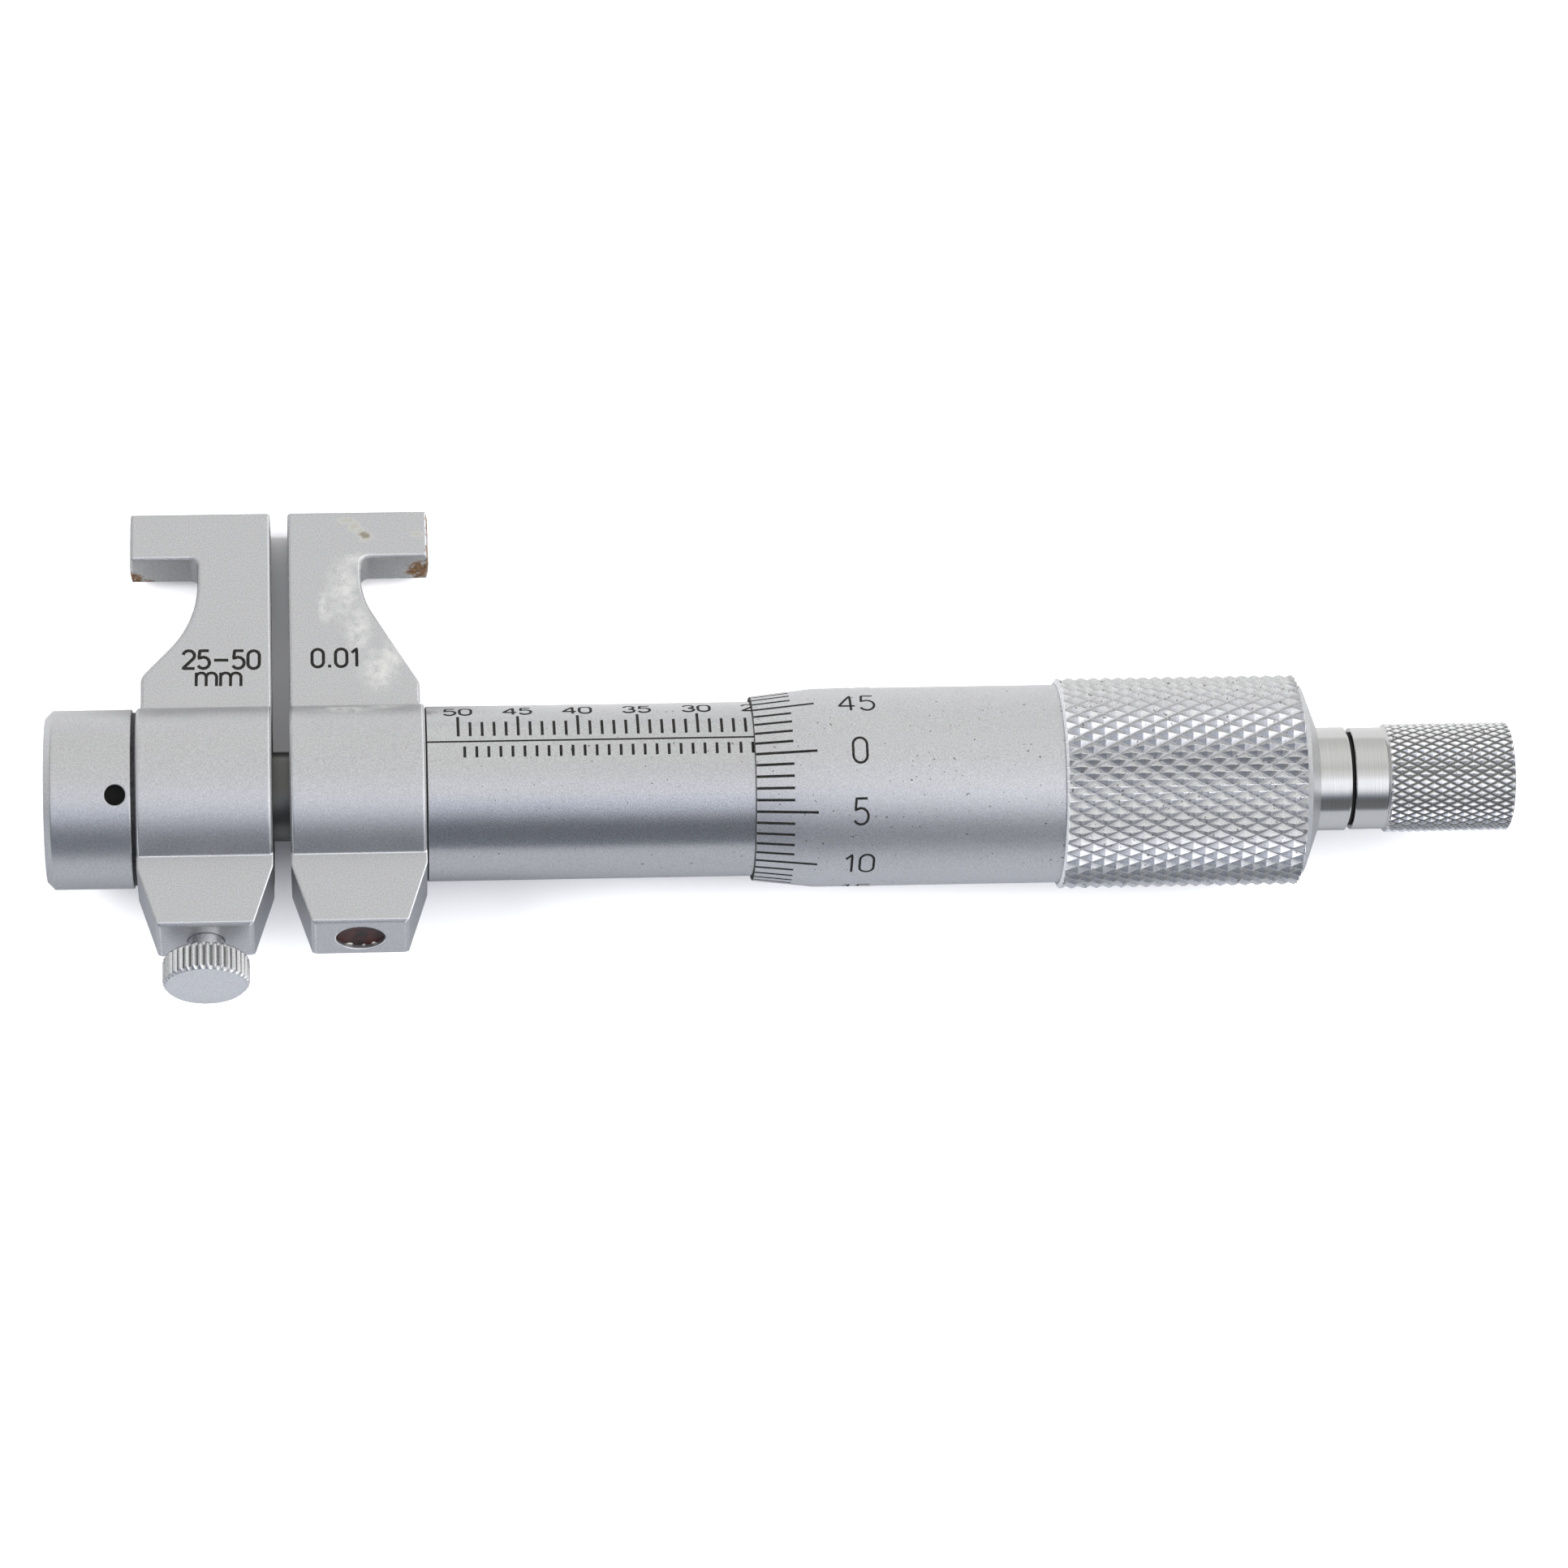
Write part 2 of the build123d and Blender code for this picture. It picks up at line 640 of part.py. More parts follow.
def end_screw():
    """Slotted screw that keeps the ratchet knob on its axle."""
    seat = web_end_x + end_play + end_washer_width
    top = seat + end_screw_head
    tip = web_end_x - end_screw_length + snug
    rim = end_screw_head_radius - head_edge
    outline = [(tip, 0), (tip, end_screw_radius), (seat, end_screw_radius)]
    outline += [(seat, end_screw_head_radius), (top - head_edge, end_screw_head_radius)]
    outline += [(top, rim), (top, 0)]
    slot = Box(2 * slot_depth, 2 * end_screw_head_radius, driver_slot)
    return turned(*outline) - Pos(top, 0, 0) * slot


def lock_pad():
    """Brass pad that the lock screw presses on the spindle."""
    inner = shaft_bore - running + lock_pad_gap
    return post(moving_middle_x, -inner - lock_pad_length, -inner, lock_pad_radius)


def lock_screw():
    """Thumbscrew with a serrated head."""
    pad_end = -(shaft_bore - running + lock_pad_gap + lock_pad_length)
    head_top = -block_bottom - lock_neck
    shank = post(moving_middle_x, head_top, pad_end - snug, lock_thread_radius)
    head = post(moving_middle_x, head_top - lock_head_length, head_top, lock_head_radius)
    head = chamfer(head.edges(), lock_head_edge)
    flute = Pos(0, 0, lock_head_radius) * Rot(90, 0, 0) * Cylinder(flute_radius, 3 * lock_head_length)
    middle = Pos(moving_middle_x, head_top, 0)
    flutes = [middle * Rot(0, 360 * i / lock_flutes, 0) * flute for i in range(lock_flutes)]
    return head - flutes + shank


# The roll that brings the tips' lower edges down to the level of the knurled grip
tip_reach_down = hypot(tip_top, plate_thickness / 2)
rest_roll = asin(knurl_radius / tip_reach_down) - atan2(plate_thickness / 2, tip_top)

pieces = {
    "fixed_jaw": fixed_jaw(),
    "barrel": barrel(),
    "graduated_sleeve": graduated_sleeve(),
    "adjusting_nut": adjusting_nut(),
    "key_screw": key_screw(),
    "sealing_plug": sealing_plug(),
    "moving_jaw": moving_jaw(),
    "guide_shaft": guide_shaft(),
    "thrust_washer": thrust_washer(),
    "end_cap": end_cap(),
    "cap_ring": cap_ring(),
    "thrust_ball": thrust_ball(),
    "spindle": spindle(),
    "spindle_collar": spindle_collar(),
    "thimble": thimble(),
    "ratchet_stem": ratchet_stem(),
    "ratchet_crown": ratchet_crown(),
    "ratchet_spring": spring(),
    "ratchet_knob": ratchet_knob(),
    "end_washer": end_washer(),
    "end_screw": end_screw(),
    "lock_pad": lock_pad(),
    "lock_screw": lock_screw(),
}

# The frame's origin is on the table, under the middle of the whole instrument
rolled = {name: Rot(-degrees(rest_roll), 0, 0) * piece for name, piece in pieces.items()}
box = Compound(children=[Compound([piece]) for piece in rolled.values()]).bounding_box()
to_table = Pos(-box.center().X, -box.center().Y, -box.min.Z)

os.makedirs("parts", exist_ok=True)
for name, piece in rolled.items():
    export_step(to_table * piece, os.path.join("parts", name + ".step"))
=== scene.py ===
"""Finish of the inside micrometer: knurls, scales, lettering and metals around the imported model."""
import math

import bpy
from mathutils import Matrix, Vector


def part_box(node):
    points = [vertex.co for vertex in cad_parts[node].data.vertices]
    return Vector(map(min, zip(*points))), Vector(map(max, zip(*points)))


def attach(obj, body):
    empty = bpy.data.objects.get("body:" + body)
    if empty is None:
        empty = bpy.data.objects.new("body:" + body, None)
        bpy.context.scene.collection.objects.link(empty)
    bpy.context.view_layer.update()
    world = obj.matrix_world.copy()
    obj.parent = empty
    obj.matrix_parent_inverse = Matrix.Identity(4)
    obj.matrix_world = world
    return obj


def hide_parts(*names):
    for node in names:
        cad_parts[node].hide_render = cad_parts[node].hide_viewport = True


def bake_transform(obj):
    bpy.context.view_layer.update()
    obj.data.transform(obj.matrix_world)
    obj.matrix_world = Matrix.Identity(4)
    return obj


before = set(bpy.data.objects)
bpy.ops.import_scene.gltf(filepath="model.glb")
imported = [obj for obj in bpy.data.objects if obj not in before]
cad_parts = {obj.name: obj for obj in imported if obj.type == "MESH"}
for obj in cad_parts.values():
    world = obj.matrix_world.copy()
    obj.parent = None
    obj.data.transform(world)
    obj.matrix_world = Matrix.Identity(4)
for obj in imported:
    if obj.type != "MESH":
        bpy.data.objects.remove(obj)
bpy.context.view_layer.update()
bpy.ops.object.select_all(action="DESELECT")

MM = 0.001
MERGE = 0.0001 * MM

# The instrument's own lengths are in millimetres along the spindle, with 0 at the fixed
# jaw's right face. The model lies rolled about the spindle by ROLL, so angles round the
# spindle are counted from the instrument's front side up over the scale.
SHIFT_X = -30.175
AXIS_Y = -4.09886 * MM
AXIS_Z = 8.95 * MM
ROLL = math.radians(15.36467)

# From left to right: cap, jaws, sleeve, thimble, boss and knob
CAP_FACE_X = -24.43
MOVING_MIDDLE_X = -18.43
MOVING_RIGHT_X = -12.78
FIXED_LEFT_X = -11.3
PLATE_TOP = 2.0
SLEEVE_R = 7.35
THIMBLE_EDGE_X = 27.38
THIMBLE_EDGE_R = 7.75
BEVEL_END_X = 32.78
THIMBLE_R = 8.38
KNURL_X = 53.28
KNURL_END_X = 73.68
KNURL_R = 8.95
KNURL_DEPTH = 0.43
WALL_X = 72.38
NOSE_X = 74.08
THIMBLE_END_X = 75.28
BOSS_END_X = 77.90
KNOB_X = 78.38
KNOB_GRIP_X = 81.18
KNOB_END_X = 91.98
KNOB_R = 4.68
KNOB_DEPTH = 0.26


def along(x):
    return (x + SHIFT_X) * MM


def on_axis(x):
    return (along(x), AXIS_Y, AXIS_Z)


def turn_to(angle):
    """Turn about the spindle that brings a piece's +Z to that angle."""
    return math.pi / 2 - math.radians(angle) - ROLL


def at(x, radius, angle):
    a = math.radians(angle) + ROLL
    return Vector((along(x), AXIS_Y - radius * MM * math.cos(a), AXIS_Z + radius * MM * math.sin(a)))


def instrument(x, y, z):
    """A point given in the instrument's frame, in the frame of the model."""
    c, s = math.cos(ROLL), math.sin(ROLL)
    return Vector((along(x), AXIS_Y + (y * c + z * s) * MM, AXIS_Z + (z * c - y * s) * MM))


# Mesh tools

def only(obj):
    bpy.ops.object.select_all(action="DESELECT")
    obj.select_set(True)
    bpy.context.view_layer.objects.active = obj


def edit(mode="VERT"):
    bpy.ops.object.mode_set(mode="EDIT")
    bpy.ops.mesh.select_mode(type=mode)


def done():
    bpy.ops.object.mode_set(mode="OBJECT")


def pick(obj, test):
    """Selects the vertices for which test(co) is true, and leaves the mesh in edit mode."""
    only(obj)
    for part in (obj.data.polygons, obj.data.edges):
        part.foreach_set("select", [False] * len(part))
    for vertex in obj.data.vertices:
        vertex.select = bool(test(vertex.co / MM))
    edit("VERT")


def pick_faces(obj, test):
    """Selects the faces for which test(centre) is true, and leaves the mesh in edit mode."""
    only(obj)
    edit("FACE")
    bpy.ops.mesh.select_all(action="DESELECT")
    done()
    for polygon in obj.data.polygons:
        polygon.select = bool(test(polygon.center / MM))
    edit("FACE")


def settle(obj):
    only(obj)
    bpy.ops.object.transform_apply(location=True, rotation=True, scale=True)


def apply_all(obj):
    only(obj)
    for modifier in list(obj.modifiers):
        bpy.ops.object.modifier_apply(modifier=modifier.name)


def bevel(obj, width, segments=2, angle=30):
    modifier = obj.modifiers.new("soft_edges", "BEVEL")
    modifier.width = width * MM
    modifier.segments = segments
    modifier.limit_method = "ANGLE"
    modifier.angle_limit = math.radians(angle)
    apply_all(obj)


def smooth(obj, angle=35):
    only(obj)
    bpy.ops.object.shade_smooth_by_angle(angle=math.radians(angle))


def lathe(name, stations, sides=96, closed=False):
    """A piece turned about its own X axis: a circle extruded from one (x, radius) to the next."""
    x, radius = stations[0]
    bpy.ops.mesh.primitive_circle_add(vertices=sides, radius=radius * MM, location=(x * MM, 0, 0),
                                      rotation=(0, math.pi / 2, 0))
    obj = bpy.context.object
    settle(obj)
    edit()
    bpy.ops.mesh.select_all(action="SELECT")
    if not closed:
        bpy.ops.mesh.edge_face_add()
        bpy.ops.mesh.select_all(action="SELECT")
    for next_x, next_radius in stations[1:] + (stations[:1] if closed else []):
        bpy.ops.mesh.extrude_region_move(TRANSFORM_OT_translate={"value": ((next_x - x) * MM, 0, 0)})
        grow = next_radius / radius
        if abs(grow - 1) > 1e-9:
            bpy.ops.transform.resize(value=(1, grow, grow), center_override=(next_x * MM, 0, 0))
        x, radius = next_x, next_radius
    bpy.ops.mesh.select_all(action="SELECT")
    bpy.ops.mesh.remove_doubles(threshold=MERGE)
    bpy.ops.mesh.normals_make_consistent(inside=False)
    done()
    obj.name = name
    return obj


def steps(start, end, count, radius):
    return [(start + (end - start) * i / count, radius) for i in range(count + 1)]


def press_knurl(obj, start, end, count, starts, depth, radius):
    """Sinks every second point of the net, so that grooves cross and pyramids stand between them."""
    pitch = (end - start) / count
    step = math.pi / starts

    def crossing(co):
        row = (co.x - start) / pitch
        if math.hypot(co.y, co.z) < radius - 0.05 or not -0.1 < row < count + 0.1:
            return False
        return (round(row) + round(math.atan2(co.z, co.y) / step)) % 2 == 1

    pick(obj, crossing)
    shrink = (radius - depth) / radius
    bpy.ops.transform.resize(value=(1, shrink, shrink), center_override=(0, 0, 0))
    done()
    pick_faces(obj, lambda c: start < c.x < end and math.hypot(c.y, c.z) > radius - depth - 0.1)
    bpy.ops.mesh.quads_convert_to_tris(quad_method="SHORTEST_DIAGONAL")
    done()


def on_spindle(obj):
    """Moves a piece drawn about X on to the spindle."""
    obj.location = on_axis(0)
    settle(obj)


def below_block(obj, x):
    """Stands a piece drawn about X under a jaw's block, its +X pointing down out of it."""
    lean = Matrix.Rotation(-ROLL, 4, "X") @ Matrix.Rotation(-math.pi / 2, 4, "Z")
    obj.rotation_euler = lean.to_euler()
    obj.location = instrument(x, 0, 0)
    settle(obj)


def join(name, pieces):
    bpy.ops.object.select_all(action="DESELECT")
    for piece in pieces:
        piece.select_set(True)
    bpy.context.view_layer.objects.active = pieces[0]
    bpy.ops.object.join()
    obj = bpy.context.object
    obj.name = name
    return obj


def copy_of(obj):
    twin = obj.copy()
    twin.data = obj.data.copy()
    bpy.context.collection.objects.link(twin)
    return twin


def turn_about_spindle(obj, angle):
    """Turns a finished piece round the spindle, towards higher angles of the scale."""
    only(obj)
    bpy.ops.transform.rotate(value=math.radians(angle), orient_axis="X", center_override=on_axis(0))
    settle(obj)


# Engraved marks: paint that fills the grooves and stands a little proud

PROUD = 0.008
SUNK = 0.05
LONGEST_PIECE = 0.12
FLATNESS = 0.1


def ring_mark(x, width, radius, start, end):
    """A mark across the sleeve: a small section spun from one angle to the other."""
    middle = radius + (PROUD - SUNK) / 2
    bpy.ops.mesh.primitive_plane_add(size=1, location=at(x, middle, start), rotation=(turn_to(start), 0, 0))
    obj = bpy.context.object
    obj.scale = (width * MM, (PROUD + SUNK) * MM, 1)
    obj.rotation_euler.x += math.pi / 2
    settle(obj)
    edit("FACE")
    bpy.ops.mesh.select_all(action="SELECT")
    bpy.ops.mesh.spin(steps=6, angle=math.radians(end - start), center=on_axis(x), axis=(1, 0, 0))
    bpy.ops.mesh.select_all(action="SELECT")
    bpy.ops.mesh.normals_make_consistent(inside=False)
    done()
    return obj


def long_mark(x0, x1, r0, r1, width, angle):
    """A mark along the spindle: its section extruded from one end to the other."""
    middle = (PROUD - SUNK) / 2
    bpy.ops.mesh.primitive_plane_add(size=1, location=at(x0, r0 + middle, angle))
    obj = bpy.context.object
    obj.scale = (width * MM, (PROUD + SUNK) * MM, 1)
    upright = Matrix.Rotation(math.pi / 2, 4, "Z") @ Matrix.Rotation(math.pi / 2, 4, "X")
    obj.rotation_euler = (Matrix.Rotation(turn_to(angle), 4, "X") @ upright).to_euler()
    settle(obj)
    edit("FACE")
    bpy.ops.mesh.select_all(action="SELECT")
    reach = at(x1, r1 + middle, angle) - at(x0, r0 + middle, angle)
    bpy.ops.mesh.extrude_region_move(TRANSFORM_OT_translate={"value": reach})
    bpy.ops.mesh.select_all(action="SELECT")
    bpy.ops.mesh.normals_make_consistent(inside=False)
    done()
    return obj


def arc(cx, cy, rx, ry, start, end, count=10):
    return [(cx + rx * math.cos(math.radians(start + (end - start) * i / count)),
             cy + ry * math.sin(math.radians(start + (end - start) * i / count))) for i in range(count + 1)]


# Single-stroke figures, one unit high: each figure's width and its strokes
FIGURES = {
    "0": (0.56, [arc(0.28, 0.72, 0.28, 0.28, 0, 180) + arc(0.28, 0.28, 0.28, 0.28, 180, 360)
                 + [(0.56, 0.72)]]),
    "1": (0.3, [[(0.0, 0.78), (0.24, 1.0), (0.24, 0.0)]]),
    "2": (0.56, [arc(0.28, 0.72, 0.28, 0.28, 170, -35) + [(0.0, 0.0), (0.58, 0.0)]]),
    "3": (0.56, [arc(0.28, 0.745, 0.25, 0.255, 165, -90), arc(0.28, 0.245, 0.28, 0.245, 90, -165)]),
    "4": (0.6, [[(0.47, 0.0), (0.47, 1.0), (0.0, 0.27), (0.64, 0.27)]]),
    "5": (0.56, [[(0.52, 1.0), (0.08, 1.0), (0.04, 0.56)] + arc(0.26, 0.32, 0.3, 0.32, 120, -150)]),
    "m": (0.92, [[(0.0, 0.0), (0.0, 0.68)],
                 [(0.0, 0.5)] + arc(0.22, 0.46, 0.22, 0.21, 150, 0, 6) + [(0.44, 0.0)],
                 [(0.44, 0.46)] + arc(0.67, 0.46, 0.23, 0.21, 150, 0, 6) + [(0.9, 0.0)]]),
    "-": (0.78, [[(0.04, 0.47), (0.74, 0.47)]]),
    ".": (0.1, [[(0.05, -0.04), (0.05, 0.12)]]),
}


def fine(stroke, longest):
    """The same stroke in short pieces, so that it can follow a curved surface."""
    points = [stroke[0]]
    for end in stroke[1:]:
        start = points[-1]
        count = max(1, math.ceil(math.dist(start, end) / longest))
        for i in range(1, count + 1):
            points.append(tuple(a + (b - a) * i / count for a, b in zip(start, end)))
    return points


def letter(text, height, weight, spacing=0.22, widen=1.0, slope=0.0):
    """A flat word of single strokes, centred on its own origin, upright along +Y."""
    curve = bpy.data.curves.new("stroke", "CURVE")
    curve.dimensions = "3D"
    curve.bevel_depth = weight / 2 * MM
    curve.bevel_resolution = 1
    curve.use_fill_caps = True
    total = sum(FIGURES[c][0] for c in text) + spacing * (len(text) - 1)
    x = -total / 2
    for character in text:
        width, strokes = FIGURES[character]
        for stroke in strokes:
            points = fine(stroke, LONGEST_PIECE / height)
            spline = curve.splines.new("POLY")
            spline.points.add(len(points) - 1)
            for point, (u, v) in zip(spline.points, points):
                point.co = ((x + u) * height * widen * MM, (v - 0.5) * height * MM, 0, 1)
        x += width + spacing
    obj = bpy.data.objects.new("stroke", curve)
    bpy.context.collection.objects.link(obj)
    only(obj)
    bpy.ops.object.convert(target="MESH")
    obj = bpy.context.object
    edit("VERT")
    bpy.ops.mesh.select_all(action="SELECT")
    bpy.ops.mesh.remove_doubles(threshold=MERGE)
    bpy.ops.mesh.normals_make_consistent(inside=False)
    done()
    obj.rotation_euler.z = math.radians(slope)
    obj.scale.z = FLATNESS
    settle(obj)
    return obj


def wrap(obj, x, radius, angle):
    """Bends a flat word round the spindle at that radius, centred on x and angle."""
    for vertex in obj.data.vertices:
        u, v, w = vertex.co / MM
        vertex.co = at(x + u, radius + PROUD / 2 + w, angle + math.degrees(v / radius))
    return obj


def lay(obj, x, y):
    """Lays a flat word on the upper face of the jaw plates."""
    obj.location = instrument(x, y, PLATE_TOP + PROUD / 2)
    obj.rotation_euler.x = -ROLL
    settle(obj)
    return obj


# Materials

def new_material(name):
    """An empty material: itself, its shader and the instrument's own millimetres as coordinates."""
    material = bpy.data.materials.new(name)
    material.use_nodes = True
    nodes = material.node_tree.nodes
    nodes.clear()
    shader = nodes.new("ShaderNodeBsdfPrincipled")
    output = nodes.new("ShaderNodeOutputMaterial")
    link(material, shader.outputs[0], output.inputs[0])
    place = nodes.new("ShaderNodeMapping")
    place.inputs["Scale"].default_value = (1 / MM, 1 / MM, 1 / MM)
    place.inputs["Rotation"].default_value = (ROLL, 0, 0)
    place.inputs["Location"].default_value = -(Matrix.Rotation(ROLL, 3, "X") @ Vector(on_axis(0))) / MM
    link(material, nodes.new("ShaderNodeTexCoord").outputs["Object"], place.inputs[0])
    return material, shader, place.outputs[0]


def link(material, start, end):
    material.node_tree.links.new(start, end)


def feed(material, socket, value):
    """Gives a socket a link, a colour or a number."""
    if isinstance(value, (int, float)):
        socket.default_value = value
    elif isinstance(value, tuple):
        socket.default_value = value if len(value) == len(socket.default_value) else (*value, 1)
    else:
        link(material, value, socket)


def noise(material, place, scale, detail=2.0, rough=0.5, output="Fac"):
    """Uneven values; scale is in cells a millimetre, one number or one for each axis."""
    if isinstance(scale, tuple):
        mapping = material.node_tree.nodes.new("ShaderNodeMapping")
        mapping.inputs["Scale"].default_value = scale
        link(material, place, mapping.inputs[0])
        place, scale = mapping.outputs[0], 1.0
    node = material.node_tree.nodes.new("ShaderNodeTexNoise")
    node.inputs["Scale"].default_value = scale
    node.inputs["Detail"].default_value = detail
    node.inputs["Roughness"].default_value = rough
    link(material, place, node.inputs["Vector"])
    return node.outputs[output]


def ramp(material, value, *stops):
    """Maps a value through colour stops, each a (place, (r, g, b)) or (place, grey)."""
    node = material.node_tree.nodes.new("ShaderNodeValToRGB")
    elements = node.color_ramp.elements
    while len(elements) < len(stops):
        elements.new(0.5)
    for element, (position, colour) in zip(elements, stops):
        element.position = position
        element.color = (*colour, 1) if isinstance(colour, tuple) else (colour, colour, colour, 1)
    link(material, value, node.inputs[0])
    return node.outputs[0]


def maths(material, kind, *values):
    node = material.node_tree.nodes.new("ShaderNodeMath")
    node.operation = kind
    for socket, value in zip(node.inputs, values):
        feed(material, socket, value)
    return node.outputs[0]


def vectors(material, kind, *values):
    node = material.node_tree.nodes.new("ShaderNodeVectorMath")
    node.operation = kind
    for socket, value in zip(node.inputs, values):
        feed(material, socket, value)
    return node.outputs["Value" if kind in ("LENGTH", "DOT_PRODUCT") else 0]


def blend(material, share, first, second):
    node = material.node_tree.nodes.new("ShaderNodeMix")
    node.data_type = "RGBA"
    for socket, value in ((node.inputs[0], share), (node.inputs[6], first), (node.inputs[7], second)):
        feed(material, socket, value)
    return node.outputs[2]


def span(material, value, start, end):
    """0 below start and 1 above end, or the other way round where start is the higher one."""
    node = material.node_tree.nodes.new("ShaderNodeMapRange")
    node.interpolation_type = "SMOOTHSTEP"
    low, high = min(start, end), max(start, end)
    node.inputs["From Min"].default_value = low
    node.inputs["From Max"].default_value = high
    node.inputs["To Min"].default_value = 0 if start < end else 1
    node.inputs["To Max"].default_value = 1 if start < end else 0
    link(material, value, node.inputs["Value"])
    return node.outputs[0]


def axes(material, place):
    node = material.node_tree.nodes.new("ShaderNodeSeparateXYZ")
    link(material, place, node.inputs[0])
    return node.outputs


def off_axis(material, place):
    """Distance from the spindle's axis."""
    return vectors(material, "LENGTH", vectors(material, "MULTIPLY", place, (0.0, 1.0, 1.0)))


def band(material, place, x0, x1, soft=0.03):
    """1 between two places along the spindle."""
    x = axes(material, place)[0]
    past_start = span(material, x, x0 - soft, x0 + soft)
    return maths(material, "MULTIPLY", past_start, span(material, x, x1 + soft, x1 - soft))


def ragged(material, place, scale, amount):
    """The same coordinates shaken, which gives a spot drawn on them an uneven rim."""
    shake = vectors(material, "SUBTRACT", noise(material, place, scale, 4, 0.6, "Color"), (0.5, 0.5, 0.5))
    return vectors(material, "ADD", place, vectors(material, "MULTIPLY", shake, (amount, amount, amount)))


def spot(material, place, centre, size, soft=0.3):
    """1 inside an ellipsoid of that centre and half sizes."""
    inside = vectors(material, "DIVIDE", vectors(material, "SUBTRACT", place, centre), size)
    return span(material, vectors(material, "LENGTH", inside), 1 + soft, 1 - soft)


def spots(material, place, soft, shapes):
    """1 inside any of several ellipsoids, each with its centre and half sizes."""
    share = spot(material, place, *shapes[0], soft)
    for centre, size in shapes[1:]:
        share = maths(material, "MAXIMUM", share, spot(material, place, centre, size, soft))
    return share


def patchy(material, place, share, cells, start, end):
    """Leaves gaps in a share where slow noise is low."""
    gaps = span(material, noise(material, place, cells, 4, 0.65), start, end)
    return maths(material, "MULTIPLY", share, gaps)


def coat(material, shader, share, colour, roughness=0.7, metallic=0.0, strength=1.0):
    """Covers what the shader has so far with dirt, rust or lacquer where share is 1."""
    if strength < 1:
        share = maths(material, "MULTIPLY", share, strength)
    for name, over in (("Base Color", colour), ("Roughness", roughness), ("Metallic", metallic)):
        socket = shader.inputs[name]
        under = socket.links[0].from_socket if socket.is_linked else None
        if name == "Base Color":
            under = under or tuple(socket.default_value)[:3]
            link(material, blend(material, share, under, over), socket)
            continue
        under = under or socket.default_value
        kept = maths(material, "MULTIPLY", under, maths(material, "SUBTRACT", 1.0, share))
        link(material, maths(material, "MULTIPLY_ADD", share, over, kept), socket)


def bump(material, shader, height, distance, edges=0.0):
    """Relief of the surface, with corners that look rounded where edges is a radius."""
    node = material.node_tree.nodes.new("ShaderNodeBump")
    node.inputs["Distance"].default_value = distance
    link(material, height, node.inputs["Height"])
    if edges:
        corner = material.node_tree.nodes.new("ShaderNodeBevel")
        corner.samples = 6
        corner.inputs["Radius"].default_value = edges * MM
        link(material, corner.outputs[0], node.inputs["Normal"])
    link(material, node.outputs[0], shader.inputs["Normal"])


SATIN = (0.487, 0.49, 0.493)
# Near-black for painted shade in joints, grooves and hollows
SHADE_BLACK = (0.012, 0.011, 0.010)


def satin(name, shade=1.0, roughness=0.30, grain=0.004, edges=0.0):
    """Satin chrome: a fine speckle over slow cloudy changes."""
    material, shader, place = new_material(name)
    speckle = noise(material, place, 8.0, 3, 0.65)
    cloud = noise(material, place, 0.26, 3, 0.55)
    dark, light = (tuple(c * shade * k for c in SATIN) for k in (0.86, 1.12))
    shader.inputs["Metallic"].default_value = 1
    link(material, ramp(material, speckle, (0.38, dark), (0.62, light)), shader.inputs["Base Color"])
    uneven = maths(material, "MULTIPLY_ADD", cloud, 0.08, maths(material, "MULTIPLY", speckle, 0.10))
    link(material, maths(material, "ADD", uneven, roughness - 0.09), shader.inputs["Roughness"])
    bump(material, shader, speckle, grain * MM, edges)
    return material, shader, place


def specks(material, shader, place, amount=0.805):
    """Tiny dark pits, a few to the square centimetre."""
    pits = span(material, noise(material, place, 3.6, 0, 0.4), amount, amount + 0.03)
    coat(material, shader, pits, (0.10, 0.09, 0.08), 0.5, 0.8, strength=0.8)


def worn_edges(material, shader, towards, radius):
    """Painted highlights: bright metal painted on the corners that lean that way."""
    corner = material.node_tree.nodes.new("ShaderNodeBevel")
    corner.samples = 8
    corner.inputs["Radius"].default_value = radius * MM
    flat = material.node_tree.nodes.new("ShaderNodeNewGeometry").outputs["Normal"]
    lean = vectors(material, "DOT_PRODUCT", vectors(material, "SUBTRACT", corner.outputs[0], flat), towards)
    coat(material, shader, span(material, lean, 0.10, 0.34), (0.78, 0.80, 0.84), 0.5, strength=0.85)


def turned(name, dark=(0.50, 0.50, 0.485), light=(0.62, 0.62, 0.605), roughness=0.14):
    """Bare turned steel with fine rings round the spindle."""
    material, shader, place = new_material(name)
    rings = noise(material, place, (9.0, 0.0, 0.0), 4, 0.75)
    shader.inputs["Metallic"].default_value = 1
    link(material, ramp(material, rings, (0.3, dark), (0.7, light)), shader.inputs["Base Color"])
    link(material, maths(material, "MULTIPLY_ADD", rings, 0.14, roughness - 0.06), shader.inputs["Roughness"])
    bump(material, shader, rings, 0.006 * MM)
    return material, shader, place


def knurl_finish(name, shade, roughness, crest, root, root_shade, dark):
    """Chrome on a knurl, painted darker from just below its crests down to the roots as painted shade in its
    valleys.
    """
    material, shader, place = satin(name, shade, roughness, grain=0.002)
    low = span(material, off_axis(material, place), crest, root)
    coat(material, shader, low, dark, 0.55, 0.7, strength=root_shade)
    specks(material, shader, place, 0.77)
    return material, shader, place


def mottled(name, low, high, cells, roughness, metallic=0.0, detail=2.0):
    """A finish that wanders between two colours, each a (place on the noise, colour)."""
    material, shader, place = new_material(name)
    shader.inputs["Roughness"].default_value = roughness
    shader.inputs["Metallic"].default_value = metallic
    colour = ramp(material, noise(material, place, cells, detail), low, high)
    link(material, colour, shader.inputs["Base Color"])
    return material, shader, place


def paint(obj, *materials):
    obj.data.materials.clear()
    for material in materials:
        obj.data.materials.append(material)


def paint_faces(obj, index, test):
    for polygon in obj.data.polygons:
        if test(polygon.center / MM):
            polygon.material_index = index
